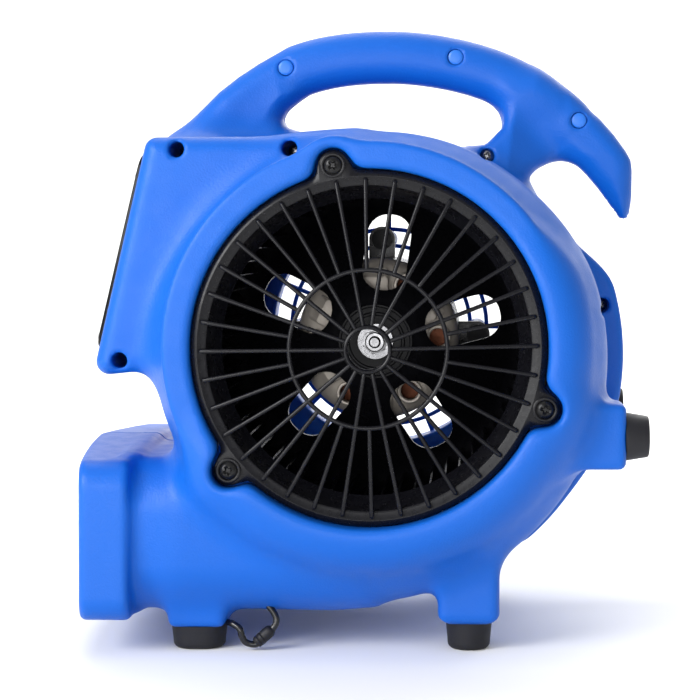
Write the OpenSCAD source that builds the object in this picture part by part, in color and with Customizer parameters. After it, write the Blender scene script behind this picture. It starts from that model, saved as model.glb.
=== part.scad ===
// Compact centrifugal floor-drying air mover, a moulded clamshell with a carrying handle.
// Frame: floor at Z = 0, air outlet towards -X, intake grille towards -Y,
// the two housing halves meet on the plane Y = 0. Sizes in millimetres.

/* [Fan axis and scroll] */
// Fan axis position along X
fan_x = 7.5; // [0:0.5:15]
// Fan axis height above the floor
fan_z = 150; // [130:1:170]
// Scroll radius at the top
scroll_top_r = 105; // [98:1:115]
// Growth of the scroll radius from top to bottom
scroll_grow = 23; // [15:1:30]
// Half width of the scroll body
body_half = 99; // [85:1:110]
// Radius of the scroll's shoulder
shoulder = 26; // [10:1:32]
// Wall thickness of the housing
wall = 3; // [2:0.5:5]
// How far the seam flange stands out from the scroll
flange_out = 13.5; // [8:0.5:18]
// Part of that height that is left at the foot of the flange
flange_foot = 0.45; // [0.2:0.05:1]
// Half width of the seam flange
flange_half = 24; // [10:1:40]

/* [Outlet nozzle] */
// Front of the collar at its middle
nozzle_front_x = -142.5; // [-150:0.5:-130]
// How far the collar's front is set back at the sides
nozzle_bow = 9.5; // [0:0.5:15]
// Rear of the collar
collar_back_x = -109; // [-120:1:-95]
// Half width of the collar
collar_half = 101.5; // [80:0.5:110]
// Underside height of the collar
collar_low_z = 16.5; // [12:0.5:24]
// Top height of the collar
collar_top_z = 98.5; // [90:0.5:110]
// Collar standing out from the duct
collar_step = 4; // [2:0.5:6]

/* [Control box and panel] */
// Half width of the control box
box_half = 87; // [60:1:95]
// Length of the control panel up its face
panel_len = 94; // [80:1:100]
// Width of the control panel
panel_w = 144; // [100:1:160]
// Thickness of the control panel
panel_t = 3; // [2:0.5:5]
// Radius of the speed knob
knob_r = 16; // [12:1:22]
// Height of the speed knob
knob_h = 15; // [10:1:20]

/* [Handle] */
// Height of the handle arc's centre
handle_z = 166; // [150:1:180]
// X of the handle arc's centre
handle_x = 13; // [5:0.5:20]
// Radius of the handle's centreline
handle_path_r = 131.7; // [120:0.1:140]
// Radius of the grip
grip_r = 13.8; // [11:0.1:17]
// Radius of the tail of the handle
tail_r = 10.5; // [8:0.1:13]

/* [Intake] */
// Radius of the intake opening
intake_r = 84.2; // [75:0.1:92]
// Outer radius of the raised intake ring
ring_r = 99; // [92:0.5:105]
// Front face of the intake ring
ring_y = -110; // [-116:1:-104]
// Radius of the round where the grille screws sit
ear_path_r = 88.7; // [84:0.1:95]
// Number of grille spokes
spokes = 36; // [24:2:48]
// Radius of one spoke
spoke_r = 1.2; // [0.8:0.1:2]
// Radius of the middle ring of the grille
mid_ring_r = 37.5; // [25:0.5:50]
// Outer radius of the hub ring of the grille
hub_ring_r = 11.6; // [8:0.1:15]

/* [Impeller and motor] */
// Outer radius of the wheel
wheel_r = 87; // [75:1:92]
// Inner radius of the blades
blade_in_r = 72; // [60:1:80]
// Number of blades
blades = 40; // [24:1:60]
// Front end of the wheel
wheel_y = -91; // [-95:1:-70]
// Shaft radius
shaft_r = 4; // [3:0.5:6]
// Motor shell radius
motor_r = 42; // [35:1:48]
// Front of the motor shell
motor_y0 = -22; // [-25:1:0]
// Rear of the motor shell
motor_y1 = 70; // [50:1:85]

/* [Feet] */
// Y of the floor feet, each side of the seam
foot_y = 71; // [55:1:85]
// X of the front feet
front_foot_x = -78.5; // [-90:0.5:-60]
// X of the rear feet
rear_foot_x = 55; // [40:0.5:75]
// Y of the two back feet, each side of the seam
back_foot_y = 84; // [60:1:90]
// Height of the back feet
back_foot_z = 106; // [90:1:120]
// Tip of the back feet
back_tip_x = 142.5; // [135:0.5:150]

/* [Hidden] */
$fn = 96;
pilot_r = 1.7;
pilot_len = 9;

blue = [0.10, 0.33, 0.90];
plug_blue = [0.20, 0.45, 0.95];
black = [0.04, 0.04, 0.045];
rubber = [0.06, 0.06, 0.065];
steel = [0.72, 0.72, 0.74];
copper = [0.72, 0.42, 0.22];

spiral_from = -90;
spiral_to = 205;
spiral_step = 5;
growth_power = 1.3;
duct_top_z = collar_top_z - collar_step;
duct_low_z = 20;
duct_half = body_half;
shoulder_steps = 5;
tail_end = 30;
tail_tip = [135.5, 212.5];
tail_tip_r = 4.8;
handle_to = 141;
tail_path_r = handle_path_r + grip_r - tail_r - 0.6;
tail_to = 44;

panel_low = [-127, 145];
panel_high = [-104.5, 241];
panel_rise = panel_high[1] - panel_low[1];
panel_run = panel_high[0] - panel_low[0];
panel_tilt = atan(panel_run / panel_rise);
panel_mid = (panel_low + panel_high) / 2;
box_profile = [[-127.5, 142], [-124.5, 136], [-121, 134.5], [-84, 138.5], [-40, 150], [0, 200],
    [7, 256.3], [-28, 256.3], [-38, 252], [-99, 250.2], [-103.5, 245]];
handle_root = [[-90, 240], [-88, 250], [-72, 262], [-56, 275], [-40, 286], [-28, 277],
    [-37, 271], [-40.6, 266], [-37.4, 259], [-28.4, 255], [-28, 236]];
pillar = [[52, 240], [56, 249], [63, 253], [69, 261], [71, 270], [66, 276], [92, 276], [110, 258],
    [106, 247], [98.3, 242.5], [90.8, 238.3], [84.5, 233], [86, 222]];
root_half = 14;
pillar_half = 24;
soft_in = 10;
gland_at = [117.5, 48, 128];
knob_at = [18, 34];
breaker_at = [20, -38];
receptacle_at = [[-20, -30], [-20, 30]];

ear_angles = [101, -19, -139];
ear_r = 8.2;
grille_rim_y = -108;
grille_rim_t = 3;
grille_wall_r = 75;
grille_wall_t = 1.8;
grille_wall_end = -94;
grille_hub_y = -118;
spoke_tip_r = 79.2;
spoke_lift = 0.6;
spoke_turn = 1;
grille_screw_r = 3.9;

hub_y = -44;
dish_r = 70;
dish_y = -4;
dish_flat_r = 22;
plate_t = 2.4;
hole_count = 5;
hole_r = 11.5;
hole_in = 37;
hole_out = 53;
hole_turn = 12;
blade_t = 1.2;
blade_lean = 38;
bore_gap = 0.05;
wheel_room = 2.2;
mount_r = 51.5;
mount_angles = [0, 90, 180, 270];
mount_y = 24;
ear_t = 4;
post_r = 5;
window_r = 4.6;
window_path_r = 31.5;
window_turn = 2;

housing_screws_at = [[-87.5, 243.5, -87], [-32, 246, -87], [64.2, 244.8, -24], [-114.8, 143.5, -87]];
flange_screw = [124.1, 168.7, -flange_half];
all_screws = concat(housing_screws_at, [flange_screw]);
plug_angles = [114, 76, 46.5];
plug_r = 3.9;
cb_r = 3.9;
cb_depth = 6;

foot_screw_hole_r = 2.4;
foot_h = 11.5;
rear_foot_h = 13.5;
foot_r = 11.3;
foot_long = 5.4;
back_foot_len = 11.5;
back_face_x = back_tip_x - back_foot_len;

tether_r = 1.7;
tether_left = [[-64.5, -76, 13.2], [-61.2, -79.5, 12.9], [-57.4, -81.5, 10.8], [-56.3, -81.6, 7.2],
    [-54.6, -81.3, 4.3], [-51.5, -81, 3.1], [-48.6, -81, 3.2]];
tether_right = [[-41.9, -81, 10.1], [-39.9, -81, 12.7], [-39.4, -80.6, 15.8], [-40.8, -79.8, 18.6],
    [-43, -79, 21.2]];
lock_from = [-49.6, -81, 3.6];
lock_to = [-40.9, -81, 11.2];
lock_r = 3.1;
tube_sides = 8;

function scroll_r(a) = a > 90 ? scroll_top_r
    : scroll_top_r + scroll_grow * pow((90 - a) / 180, growth_power);
function polar(r, a) = [fan_x + r * cos(a), fan_z + r * sin(a)];

// Puts a shape drawn in the X-Z plane at a depth and gives it a thickness along +Y.
module slab(y0, y1) {
    translate([0, y1, 0])
        rotate([90, 0, 0])
            linear_extrude(y1 - y0)
                children();
}

// A round bar along Y at a place in the X-Z plane.
module rod_y(x, z, y0, y1, r, r2 = -1) {
    translate([x, y0, z])
        rotate([-90, 0, 0])
            cylinder(h = y1 - y0, r1 = r, r2 = r2 < 0 ? r : r2);
}

// A turned shape about the fan axis: the profile is [radius, y].
module turned(profile) {
    translate([fan_x, 0, fan_z])
        rotate([-90, 0, 0])
            rotate_extrude()
                polygon(profile);
}

// The scroll's side view, drawn in by a distance.
module scroll_2d(inset) {
    polygon([for (a = [spiral_from : spiral_step : spiral_to]) polar(scroll_r(a) - inset, a)]);
    translate([collar_back_x - 2, duct_low_z + inset])
        square([fan_x - collar_back_x + 2, duct_top_z - duct_low_z - 2 * inset]);
}

module circle_at_fan(r) {
    translate([fan_x, fan_z])
        circle(r = r);
}

// Stepped shoulder from the seam to the side face.
module scroll_body(side) {
    for (k = [0 : shoulder_steps - 1]) {
        a0 = 90 * k / shoulder_steps;
        depth = body_half - shoulder + shoulder * sin(90 * (k + 1) / shoulder_steps);
        mirror([0, side, 0])
            slab(-depth, 0)
                scroll_2d(shoulder * (1 - cos(a0)) * 0.8);
    }
}

// Inside of the scroll, open towards the seam.
module scroll_cavity(side) {
    mirror([0, side, 0]) {
        slab(-(body_half - shoulder), 1)
            scroll_2d(wall + 1);
        slab(-(body_half - wall), 1)
            scroll_2d(wall + shoulder * 0.4);
    }
}

// The collar's plan view, bowed at the front.
module collar_plan(inset) {
    back = collar_back_x;
    half = collar_half - inset;
    polygon([[back, 0], [back, -half],
        for (k = [0 : 8])
            [nozzle_front_x + nozzle_bow * pow(1 - k / 8, 2), -half * (1 - k / 8)]]);
}

// One half of the collar, with a rounded near corner.
module collar_half_solid(side) {
    corner = 14;
    mirror([0, side, 0])
        intersection() {
            translate([0, 0, collar_low_z])
                linear_extrude(collar_top_z - collar_low_z)
                    collar_plan(0);
            translate([collar_back_x, 0, 0])
                rotate([90, 0, -90])
                    linear_extrude(collar_back_x - nozzle_front_x + 1)
                        polygon([[0, collar_low_z], [0, collar_top_z],
                            [collar_half - corner, collar_top_z - 2],
                            [collar_half - corner / 3, collar_top_z - corner / 3],
                            [collar_half, collar_top_z - corner],
                            [collar_half, collar_low_z + corner],
                            [collar_half - corner / 3, collar_low_z + corner / 3],
                            [collar_half - corner, collar_low_z]]);
        }
}

// The passage through duct and collar, up to the outlet.
module duct_passage(side) {
    mirror([0, side, 0])
        translate([nozzle_front_x - 1, -(duct_half - 11), duct_low_z + wall])
            cube([fan_x - nozzle_front_x, duct_half - 10, duct_top_z - duct_low_z - 2 * wall]);
}

// Half of the control box, with a softened near edge.
module control_box(side) {
    soft = 8;
    mirror([0, side, 0]) {
        slab(-(box_half - soft), 0)
            polygon(box_profile);
        slab(-box_half, 0)
            offset(delta = -3)
                polygon(box_profile);
    }
}

module box_cavity(side) {
    mirror([0, side, 0])
        slab(-(box_half - soft_in), 1)
            difference() {
                offset(delta = -wall - 1)
                    polygon(box_profile);
                circle_at_fan(scroll_top_r);
            }
}

// Half of the arched handle with its hooked tail.
module handle_bar(side) {
    mirror([0, side, 0])
        translate([handle_x, 0, handle_z])
            rotate([90, 0, 0]) {
                rotate_extrude(angle = handle_to - tail_to + 8, start = tail_to - 8)
                    intersection() {
                        translate([handle_path_r, 0])
                            circle(r = grip_r);
                        square([2 * handle_path_r, grip_r]);
                    }
                rotate_extrude(angle = tail_to - tail_end, start = tail_end)
                    intersection() {
                        translate([tail_path_r, 0])
                            circle(r = tail_r);
                        square([2 * handle_path_r, grip_r]);
                    }
            }
    tail_point(side);
}

// The tapering end of the handle's tail.
module tail_point(side) {
    turn = tail_end + 3;
    start = [handle_x + tail_path_r * cos(turn), handle_z + tail_path_r * sin(turn)];
    run = tail_tip - start;
    mirror([0, side, 0])
        intersection() {
            translate([start[0], 0, start[1]])
                rotate([0, 90 - atan2(run[1], run[0]), 0])
                    cylinder(h = norm(run), r1 = tail_r - 0.4, r2 = tail_tip_r);
            translate([tail_tip[0] - 40, -2 * grip_r, tail_tip[1] - 20])
                cube([60, 2 * grip_r, 60]);
        }
}

// How far the flange stands out at an angle: it sinks towards its foot.
function flange_rise(a) = flange_out * (1 - (1 - flange_foot) * max(0, min(1, (-18 - a) / 24)));

// Raised flange either side of the seam along the back of the scroll.
module seam_flange(side) {
    mirror([0, side, 0])
        slab(-flange_half, 0)
            polygon([polar(scroll_top_r - 20, 29), polar(scroll_r(29), 29),
                polar(scroll_r(25) + 8, 25), polar(scroll_r(20) + flange_out - 1.5, 20),
                for (a = [15 : -spiral_step : -60]) polar(scroll_r(a) + flange_rise(a), a),
                polar(scroll_r(-64), -64), polar(scroll_top_r - 20, -64)]);
}

// Bosses that carry the rubber feet on one side.
module foot_bosses(side) {
    mirror([0, side, 0]) {
        translate([front_foot_x - 17, -foot_y - 12, foot_h])
            cube([34, 24, 14]);
        translate([rear_foot_x - 15.5, -foot_y - 14, rear_foot_h])
            cube([31, 28, 32]);
        translate([back_face_x - 26, -back_foot_y - 12.5, back_foot_z - 15.5])
            cube([26, 30, 32]);
    }
}

// Screw holes under the floor feet and behind the back feet of one side.
module foot_screw_holes(side) {
    mirror([0, side, 0]) {
        translate([front_foot_x, -foot_y, foot_h - 1])
            cylinder(h = 8, r = foot_screw_hole_r);
        translate([rear_foot_x, -foot_y, rear_foot_h - 1])
            cylinder(h = 8, r = foot_screw_hole_r);
        translate([back_face_x - 7, -back_foot_y, back_foot_z])
            rotate([0, 90, 0])
                cylinder(h = 8, r = foot_screw_hole_r);
    }
}

module housing_solid(side) {
    difference() {
        union() {
            scroll_body(side);
            seam_flange(side);
            control_box(side);
        }
        scroll_cavity(side);
        box_cavity(side);
    }
    difference() {
        collar_half_solid(side);
        duct_passage(side);
    }
    handle_bar(side);
    mirror([0, side, 0]) {
        slab(-root_half, 0)
            polygon(handle_root);
        slab(-pillar_half, 0)
            polygon(pillar);
    }
    difference() {
        foot_bosses(side);
        scroll_cavity(side);
    }
}

// The intake opening with its three lobes.
module intake_hole(y0, y1, grow) {
    rod_y(fan_x, fan_z, y0, y1, intake_r + grow);
    for (a = ear_angles) {
        p = polar(ear_path_r, a);
        rod_y(p[0], p[1], y0, y1, ear_r + grow);
    }
}

module intake_side_housing() {
    color(blue)
        difference() {
            union() {
                housing_solid(0);
                rod_y(fan_x, fan_z, ring_y, -body_half + wall, ring_r);
            }
            intake_hole(ring_y - 1, grille_rim_y + grille_rim_t, 0.4);
            rod_y(fan_x, fan_z, -105, -90, grille_wall_r + grille_wall_t + 0.6);
            rod_y(fan_x, fan_z, wheel_y - wheel_room, 0, wheel_r + wheel_room);
            duct_passage(0);
            for (p = all_screws) {
                rod_y(p[0], p[1], p[2] - 14, p[2] + cb_depth, cb_r);
                rod_y(p[0], p[1], p[2] + cb_depth - 1, p[2] + cb_depth + pilot_len, pilot_r);
            }
            for (a = ear_angles) {
                p = polar(ear_path_r, a);
                rod_y(p[0], p[1], grille_rim_y, grille_rim_y + grille_rim_t + 8, 1.9);
            }
            for (a = plug_angles)
                handle_plug(a, 0.0);
            foot_screw_holes(0);
            panel_cutouts();
        }
}

// Rings and bars of the rear intake, and the posts that carry the motor.
module rear_grid() {
    for (r = [38 : 9.6 : 66])
        turned([[r - 1, 110], [r + 1, 110], [r + 1, 113.5], [r - 1, 113.5]]);
    for (k = [0 : 15])
        translate([fan_x, 0, fan_z])
            rotate([0, 22.5 * k, 0])
                translate([26, 110, -1])
                    cube([42, 3.5, 2]);
    turned([[0, 108], [30, 108], [30, 115], [0, 115]]);
    for (a = mount_angles) {
        p = polar(mount_r, a);
        rod_y(p[0], p[1], mount_y + ear_t + 2, 111, post_r);
    }
}

module motor_side_housing() {
    color(blue) {
        difference() {
            union() {
                housing_solid(1);
                turned([[0, 90], [84, 90], [84, 106], [79, 114], [71, 118.2], [0, 118.2]]);
            }
            rod_y(fan_x, fan_z, 80, 108.5, 78.5);
            rod_y(fan_x, fan_z, 100, 119, 66);
            duct_passage(1);
            foot_screw_holes(1);
            panel_cutouts();
            gland_hole();
        }
        rear_grid();
    }
}

// The hole of the cord gland, with a recess for its flange.
module gland_hole() {
    translate(gland_at)
        rotate([0, 90, 0]) {
            translate([0, 0, -20])
                cylinder(h = 40, r = 6);
            translate([0, 0, -1.1])
                cylinder(h = 20, r = 8.1);
        }
}

// A round plug in the near face of the handle.
module handle_plug(a, in) {
    x = handle_x + handle_path_r * cos(a);
    z = handle_z + handle_path_r * sin(a);
    rod_y(x, z, -grip_r - 1, -grip_r + 5, plug_r - in);
}

module handle_plugs() {
    color(plug_blue)
        for (a = plug_angles)
            intersection() {
                handle_plug(a, 0.1);
                handle_plug_face(a);
            }
}

module handle_plug_face(a) {
    x = handle_x + handle_path_r * cos(a);
    z = handle_z + handle_path_r * sin(a);
    rod_y(x, z, -grip_r + 0.2, -grip_r + 5, plug_r + 1);
}

// A cross-slotted pan-head screw whose head faces -Y.
module cross_screw(x, z, y, head_r, head_h, shank_r, shank) {
    difference() {
        union() {
            rod_y(x, z, y, y + head_h, head_r * 0.8, head_r);
            rod_y(x, z, y + head_h, y + head_h + shank, shank_r);
        }
        for (t = [0, 90])
            translate([x, y, z])
                rotate([0, t + 20, 0])
                    cube([head_r * 1.1, head_h * 1.1, head_r * 0.28], center = true);
    }
}

module housing_screws() {
    color(steel)
        for (p = all_screws)
            cross_screw(p[0], p[1], p[2] + cb_depth - 2.2, 3.5, 2.2, pilot_r - 0.1, pilot_len - 1);
}

module grille_ear(a) {
    p = polar(ear_path_r, a);
    rod_y(p[0], p[1], grille_rim_y, grille_rim_y + grille_rim_t, ear_r - 0.4);
}

// One spoke from the rim to an inner radius, rising with the dome.
module spoke(a, inner) {
    rise = grille_rim_y - grille_hub_y - 1.6;
    run = spoke_tip_r - hub_ring_r;
    y_tip = grille_rim_y - spoke_lift;
    slope = atan(rise / run);
    length = (spoke_tip_r - inner) / cos(slope);
    translate([fan_x, y_tip, fan_z])
        rotate([0, -a, 0])
            translate([spoke_tip_r, 0, 0])
                rotate([0, 0, slope])
                    rotate([0, -90, 0])
                        cylinder(h = length, r = spoke_r);
}

module intake_grille() {
    mid_y = grille_rim_y - spoke_lift - (grille_rim_y - grille_hub_y - 1.6)
        * (spoke_tip_r - mid_ring_r) / (spoke_tip_r - hub_ring_r);
    color(black)
        difference() {
            union() {
                turned([[grille_wall_r, grille_rim_y], [intake_r - 0.2, grille_rim_y],
                    [intake_r - 0.2, grille_rim_y + grille_rim_t],
                    [grille_wall_r + grille_wall_t, grille_rim_y + grille_rim_t],
                    [grille_wall_r + grille_wall_t, grille_wall_end],
                    [grille_wall_r, grille_wall_end]]);
                for (a = ear_angles)
                    grille_ear(a);
                turned([[mid_ring_r - spoke_r, mid_y - spoke_r], [mid_ring_r + spoke_r, mid_y - spoke_r],
                    [mid_ring_r + spoke_r, mid_y + spoke_r], [mid_ring_r - spoke_r, mid_y + spoke_r]]);
                turned([[hub_ring_r - 2, grille_hub_y], [hub_ring_r, grille_hub_y],
                    [hub_ring_r, grille_hub_y + 6], [hub_ring_r - 2, grille_hub_y + 6]]);
                for (k = [0 : 2 : spokes - 2])
                    spoke(spoke_turn + k * 360 / spokes, hub_ring_r - 1);
                for (k = [1 : 2 : spokes - 1])
                    spoke(spoke_turn + k * 360 / spokes, mid_ring_r);
            }
            for (a = ear_angles) {
                p = polar(ear_path_r, a);
                rod_y(p[0], p[1], grille_rim_y - 1, grille_rim_y + grille_rim_t + 1, 1.9);
            }
        }
}

module grille_screws() {
    color(black)
        for (a = ear_angles) {
            p = polar(ear_path_r, a);
            cross_screw(p[0], p[1], grille_rim_y - 2.4, grille_screw_r, 2.4, 1.8, 9);
        }
}

module outlet_grille() {
    x0 = nozzle_front_x + 20;
    half = duct_half - 11.2;
    low = duct_low_z + wall + 0.2;
    high = duct_top_z - wall - 0.2;
    color(black)
        difference() {
            translate([x0, -half, low])
                cube([4, 2 * half, high - low]);
            for (k = [-6 : 6])
                translate([x0 - 1, k * 13.2 - 5.4, low + 4])
                    cube([6, 10.8, (high - low) / 2 - 5.5]);
            for (k = [-6 : 6])
                translate([x0 - 1, k * 13.2 - 5.4, (high + low) / 2 + 1.5])
                    cube([6, 10.8, (high - low) / 2 - 5.5]);
        }
}

// A radial slot in the wheel's back plate.
module plate_slot(a) {
    translate([fan_x, 0, fan_z])
        rotate([0, -a, 0]) {
            translate([hole_in, -60, 0])
                rotate([-90, 0, 0])
                    cylinder(h = 80, r = hole_r);
            translate([hole_out, -60, 0])
                rotate([-90, 0, 0])
                    cylinder(h = 80, r = hole_r);
            translate([hole_in, -60, -hole_r])
                cube([hole_out - hole_in, 80, 2 * hole_r]);
        }
}

module impeller_wheel() {
    color(black)
        difference() {
            union() {
                turned([[12.2, hub_y], [dish_flat_r, hub_y], [dish_r, dish_y], [wheel_r, dish_y],
                    [wheel_r, dish_y + plate_t], [dish_r, dish_y + plate_t],
                    [dish_flat_r, hub_y + plate_t], [12.2, hub_y + plate_t]]);
                turned([[wheel_r - 2.5, wheel_y], [wheel_r, wheel_y], [wheel_r, wheel_y + 4],
                    [wheel_r - 2.5, wheel_y + 4]]);
                for (k = [0 : blades - 1])
                    translate([fan_x, 0, fan_z])
                        rotate([0, -k * 360 / blades, 0])
                            translate([blade_in_r, wheel_y + 1, 0])
                                rotate([0, -blade_lean, 0])
                                    cube([wheel_r - blade_in_r + 1.2, dish_y - wheel_y, blade_t]);
            }
            for (k = [0 : hole_count - 1])
                plate_slot(hole_turn + k * 360 / hole_count);
        }
}

module impeller_hub() {
    color(steel)
        difference() {
            rod_y(fan_x, fan_z, hub_y - 1, hub_y + 6, 12.1);
            rod_y(fan_x, fan_z, hub_y - 5, hub_y + 15, shaft_r);
        }
}

module hub_washer() {
    color(steel)
        difference() {
            rod_y(fan_x, fan_z, hub_y - 2.6, hub_y - 1, 9.2);
            rod_y(fan_x, fan_z, hub_y - 5, hub_y + 1, 3.2);
        }
}

module hub_nut() {
    color(steel)
        difference() {
            translate([fan_x, hub_y - 7.6, fan_z])
                rotate([-90, 0, 0])
                    cylinder(h = 5, r = 6.2, $fn = 6);
            rod_y(fan_x, fan_z, hub_y - 9, hub_y, 3.05);
        }
}

module motor_shaft() {
    color(steel) {
        rod_y(fan_x, fan_z, hub_y - 1, 66, shaft_r - bore_gap);
        rod_y(fan_x, fan_z, hub_y - 11, hub_y - 0.9, 3);
    }
}

module motor_rotor() {
    color(steel)
        difference() {
            rod_y(fan_x, fan_z, -6, 52, 22);
            rod_y(fan_x, fan_z, -7, 53, shaft_r - bore_gap);
        }
}

module stator_core() {
    color(steel)
        difference() {
            rod_y(fan_x, fan_z, -1, 46, motor_r - 2.2);
            rod_y(fan_x, fan_z, -2, 47, 22.5);
        }
}

module motor_winding() {
    color(copper)
        for (y = [-13, 46])
            turned([[25, y], [37, y], [38, y + 3], [38, y + 12], [25, y + 12]]);
}

module motor_shell() {
    color(black)
        difference() {
            rod_y(fan_x, fan_z, motor_y0 + 8, motor_y1 - 8, motor_r);
            rod_y(fan_x, fan_z, motor_y0, motor_y1, motor_r - 2.2);
        }
}

// Vent windows round an end bell.
module bell_windows(y0, y1) {
    for (k = [0 : 5]) {
        p = polar(window_path_r, window_turn + 60 * k);
        rod_y(p[0], p[1], y0, y1, window_r);
    }
}

module motor_front_bell() {
    color(steel)
        difference() {
            turned([[0, motor_y0 - 15], [12, motor_y0 - 15], [14, motor_y0 - 8], [34, motor_y0 - 4],
                [motor_r, motor_y0 + 4], [motor_r, motor_y0 + 8], [motor_r - 2, motor_y0 + 8],
                [motor_r - 3, motor_y0 + 5], [33, motor_y0 - 1.5], [13, motor_y0 - 2],
                [0, motor_y0 - 2]]);
            rod_y(fan_x, fan_z, motor_y0 - 13, motor_y0 + 6, 8);
            rod_y(fan_x, fan_z, motor_y0 - 24, motor_y0 + 6, shaft_r + 1.5);
            bell_windows(motor_y0 - 14, motor_y0 + 11);
        }
}

module motor_rear_bell() {
    color(steel)
        difference() {
            turned([[0, motor_y1 + 2], [14, motor_y1 + 2], [34, motor_y1 - 1], [motor_r, motor_y1 - 5],
                [motor_r, motor_y1 - 8], [motor_r - 2, motor_y1 - 8], [33, motor_y1 - 4],
                [14, motor_y1 - 10], [0, motor_y1 - 10]]);
            rod_y(fan_x, fan_z, motor_y1 - 11, motor_y1 - 2, 8);
            bell_windows(motor_y1 - 12, motor_y1 + 4);
        }
}

module motor_bearings() {
    color(steel)
        for (y = [motor_y0 - 12.5, motor_y1 - 9.5])
            difference() {
                rod_y(fan_x, fan_z, y, y + 7, 8);
                rod_y(fan_x, fan_z, y - 1, y + 8, shaft_r);
            }
}

// Ears on the motor shell, each with a hole for its bushing.
module motor_mounts() {
    color(black)
        for (a = mount_angles) {
            p = polar(mount_r, a);
            difference() {
                union() {
                    rod_y(p[0], p[1], mount_y, mount_y + ear_t, 7);
                    translate([fan_x, mount_y, fan_z])
                        rotate([0, -a, 0])
                            translate([motor_r - 1, 0, -7])
                                cube([mount_r - motor_r + 1, ear_t, 14]);
                }
                rod_y(p[0], p[1], mount_y - 1, mount_y + ear_t + 1, 3);
                rod_y(fan_x, fan_z, mount_y - 1, mount_y + ear_t + 1, motor_r);
            }
        }
}

// Rubber bushings that clamp the ears to the posts of the rear housing.
module mount_bushings() {
    color(rubber)
        for (a = mount_angles) {
            p = polar(mount_r, a);
            rod_y(p[0], p[1], mount_y - 5, mount_y, 5.4);
            rod_y(p[0], p[1], mount_y - 1, mount_y + ear_t + 1, 2.98);
            rod_y(p[0], p[1], mount_y + ear_t, mount_y + ear_t + 2, 5.4);
        }
}

// Places a shape on the control panel: x runs up the face, y across, z outwards.
module on_panel() {
    translate([panel_mid[0], 0, panel_mid[1]])
        rotate([0, -(90 - panel_tilt), 0])
            children();
}

// Rounded rectangle as four corner discs and two bars.
module soft_rect(a, b, r) {
    for (i = [-1, 1])
        for (j = [-1, 1])
            translate([i * (a / 2 - r), j * (b / 2 - r)])
                circle(r = r);
    square([a - 2 * r, b], center = true);
    square([a, b - 2 * r], center = true);
}

module panel_cutouts() {
    on_panel()
        translate([0, 0, -6])
            linear_extrude(6.6)
                soft_rect(panel_len - 14, panel_w - 14, 6);
}

module control_panel() {
    color(black)
        on_panel()
            difference() {
                translate([0, 0, 0.6])
                    linear_extrude(panel_t)
                        soft_rect(panel_len, panel_w, 8);
                translate([knob_at[0], knob_at[1], -1])
                    cylinder(h = 10, r = 4.5);
                translate([breaker_at[0], breaker_at[1], -1])
                    cylinder(h = 10, r = 6.2);
                for (p = receptacle_at)
                    translate([p[0], p[1], -1])
                        linear_extrude(10)
                            soft_rect(27.2, 35.2, 6.1);
                for (i = [-1, 1])
                    for (j = [-1, 1])
                        translate([i * (panel_len / 2 - 6), j * (panel_w / 2 - 6), -1])
                            cylinder(h = 10, r = 1.7);
            }
}

module panel_screws() {
    color(steel)
        on_panel()
            for (i = [-1, 1])
                for (j = [-1, 1])
                    translate([i * (panel_len / 2 - 6), j * (panel_w / 2 - 6), panel_t + 0.6])
                        difference() {
                            union() {
                                cylinder(h = 1.6, r1 = 3, r2 = 2.4);
                                translate([0, 0, -panel_t])
                                    cylinder(h = panel_t, r = 1.6);
                            }
                            translate([0, 0, 1.6])
                                cube([3.4, 0.8, 1.6], center = true);
                            translate([0, 0, 1.6])
                                cube([0.8, 3.4, 1.6], center = true);
                        }
}

module speed_knob() {
    color(black)
        on_panel()
            translate([knob_at[0], knob_at[1], panel_t + 0.9])
                difference() {
                    union() {
                        cylinder(h = 4, r = knob_r);
                        translate([0, 0, 3.9])
                            cylinder(h = knob_h - 4, r1 = knob_r - 2, r2 = knob_r - 3.5);
                        translate([-(knob_r - 3), -3, 4])
                            cube([2 * knob_r - 6, 6, knob_h - 2.5]);
                    }
                    translate([0, 0, -1])
                        cylinder(h = 8, r = 3.05);
                }
}

module rotary_switch() {
    color(black)
        on_panel()
            translate([knob_at[0], knob_at[1], 0]) {
                translate([-14, -14, -22])
                    cube([28, 28, 22.6]);
                cylinder(h = panel_t + 6, r = 3);
            }
}

// Grounded socket faces with their slots.
module receptacles() {
    color(black)
        on_panel()
            for (p = receptacle_at)
                translate([p[0], p[1], -20])
                    difference() {
                        linear_extrude(20 + panel_t + 1.4)
                            soft_rect(27, 35, 6);
                        for (t = [-1, 1])
                            translate([3, t * 6.3 - 1, 10])
                                cube([8, 2, 20]);
                        translate([-6, 0, 10])
                            cylinder(h = 20, r = 2.6);
                    }
}

module breaker_body() {
    color(black)
        on_panel()
            translate([breaker_at[0], breaker_at[1], 0])
                difference() {
                    union() {
                        translate([-8, -12, -24])
                            cube([16, 24, 24.6]);
                        cylinder(h = panel_t + 2.6, r = 6.1);
                    }
                    translate([0, 0, -4])
                        cylinder(h = 20, r = 4.1);
                }
}

module reset_button() {
    color([0.75, 0.08, 0.06])
        on_panel()
            translate([breaker_at[0], breaker_at[1], -0.5])
                cylinder(h = panel_t + 6.5, r = 4.05);
}

module capacitor() {
    color([0.85, 0.85, 0.83])
        translate([-86, 50, 228])
            rotate([-90, 0, 0])
                cylinder(h = 26, r = 12);
}

// A rubber foot under the housing, stretched along X.
module floor_foot(x, y, h, stretch) {
    difference() {
        translate([x, y, 0])
            linear_extrude(h) {
                for (t = [-stretch, stretch])
                    translate([t, 0])
                        circle(r = foot_r);
                square([2 * stretch, 2 * foot_r], center = true);
            }
        translate([x, y, -1])
            cylinder(h = 7, r = 4.2);
        translate([x, y, -1])
            cylinder(h = h + 2, r = 2.3);
    }
}

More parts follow.
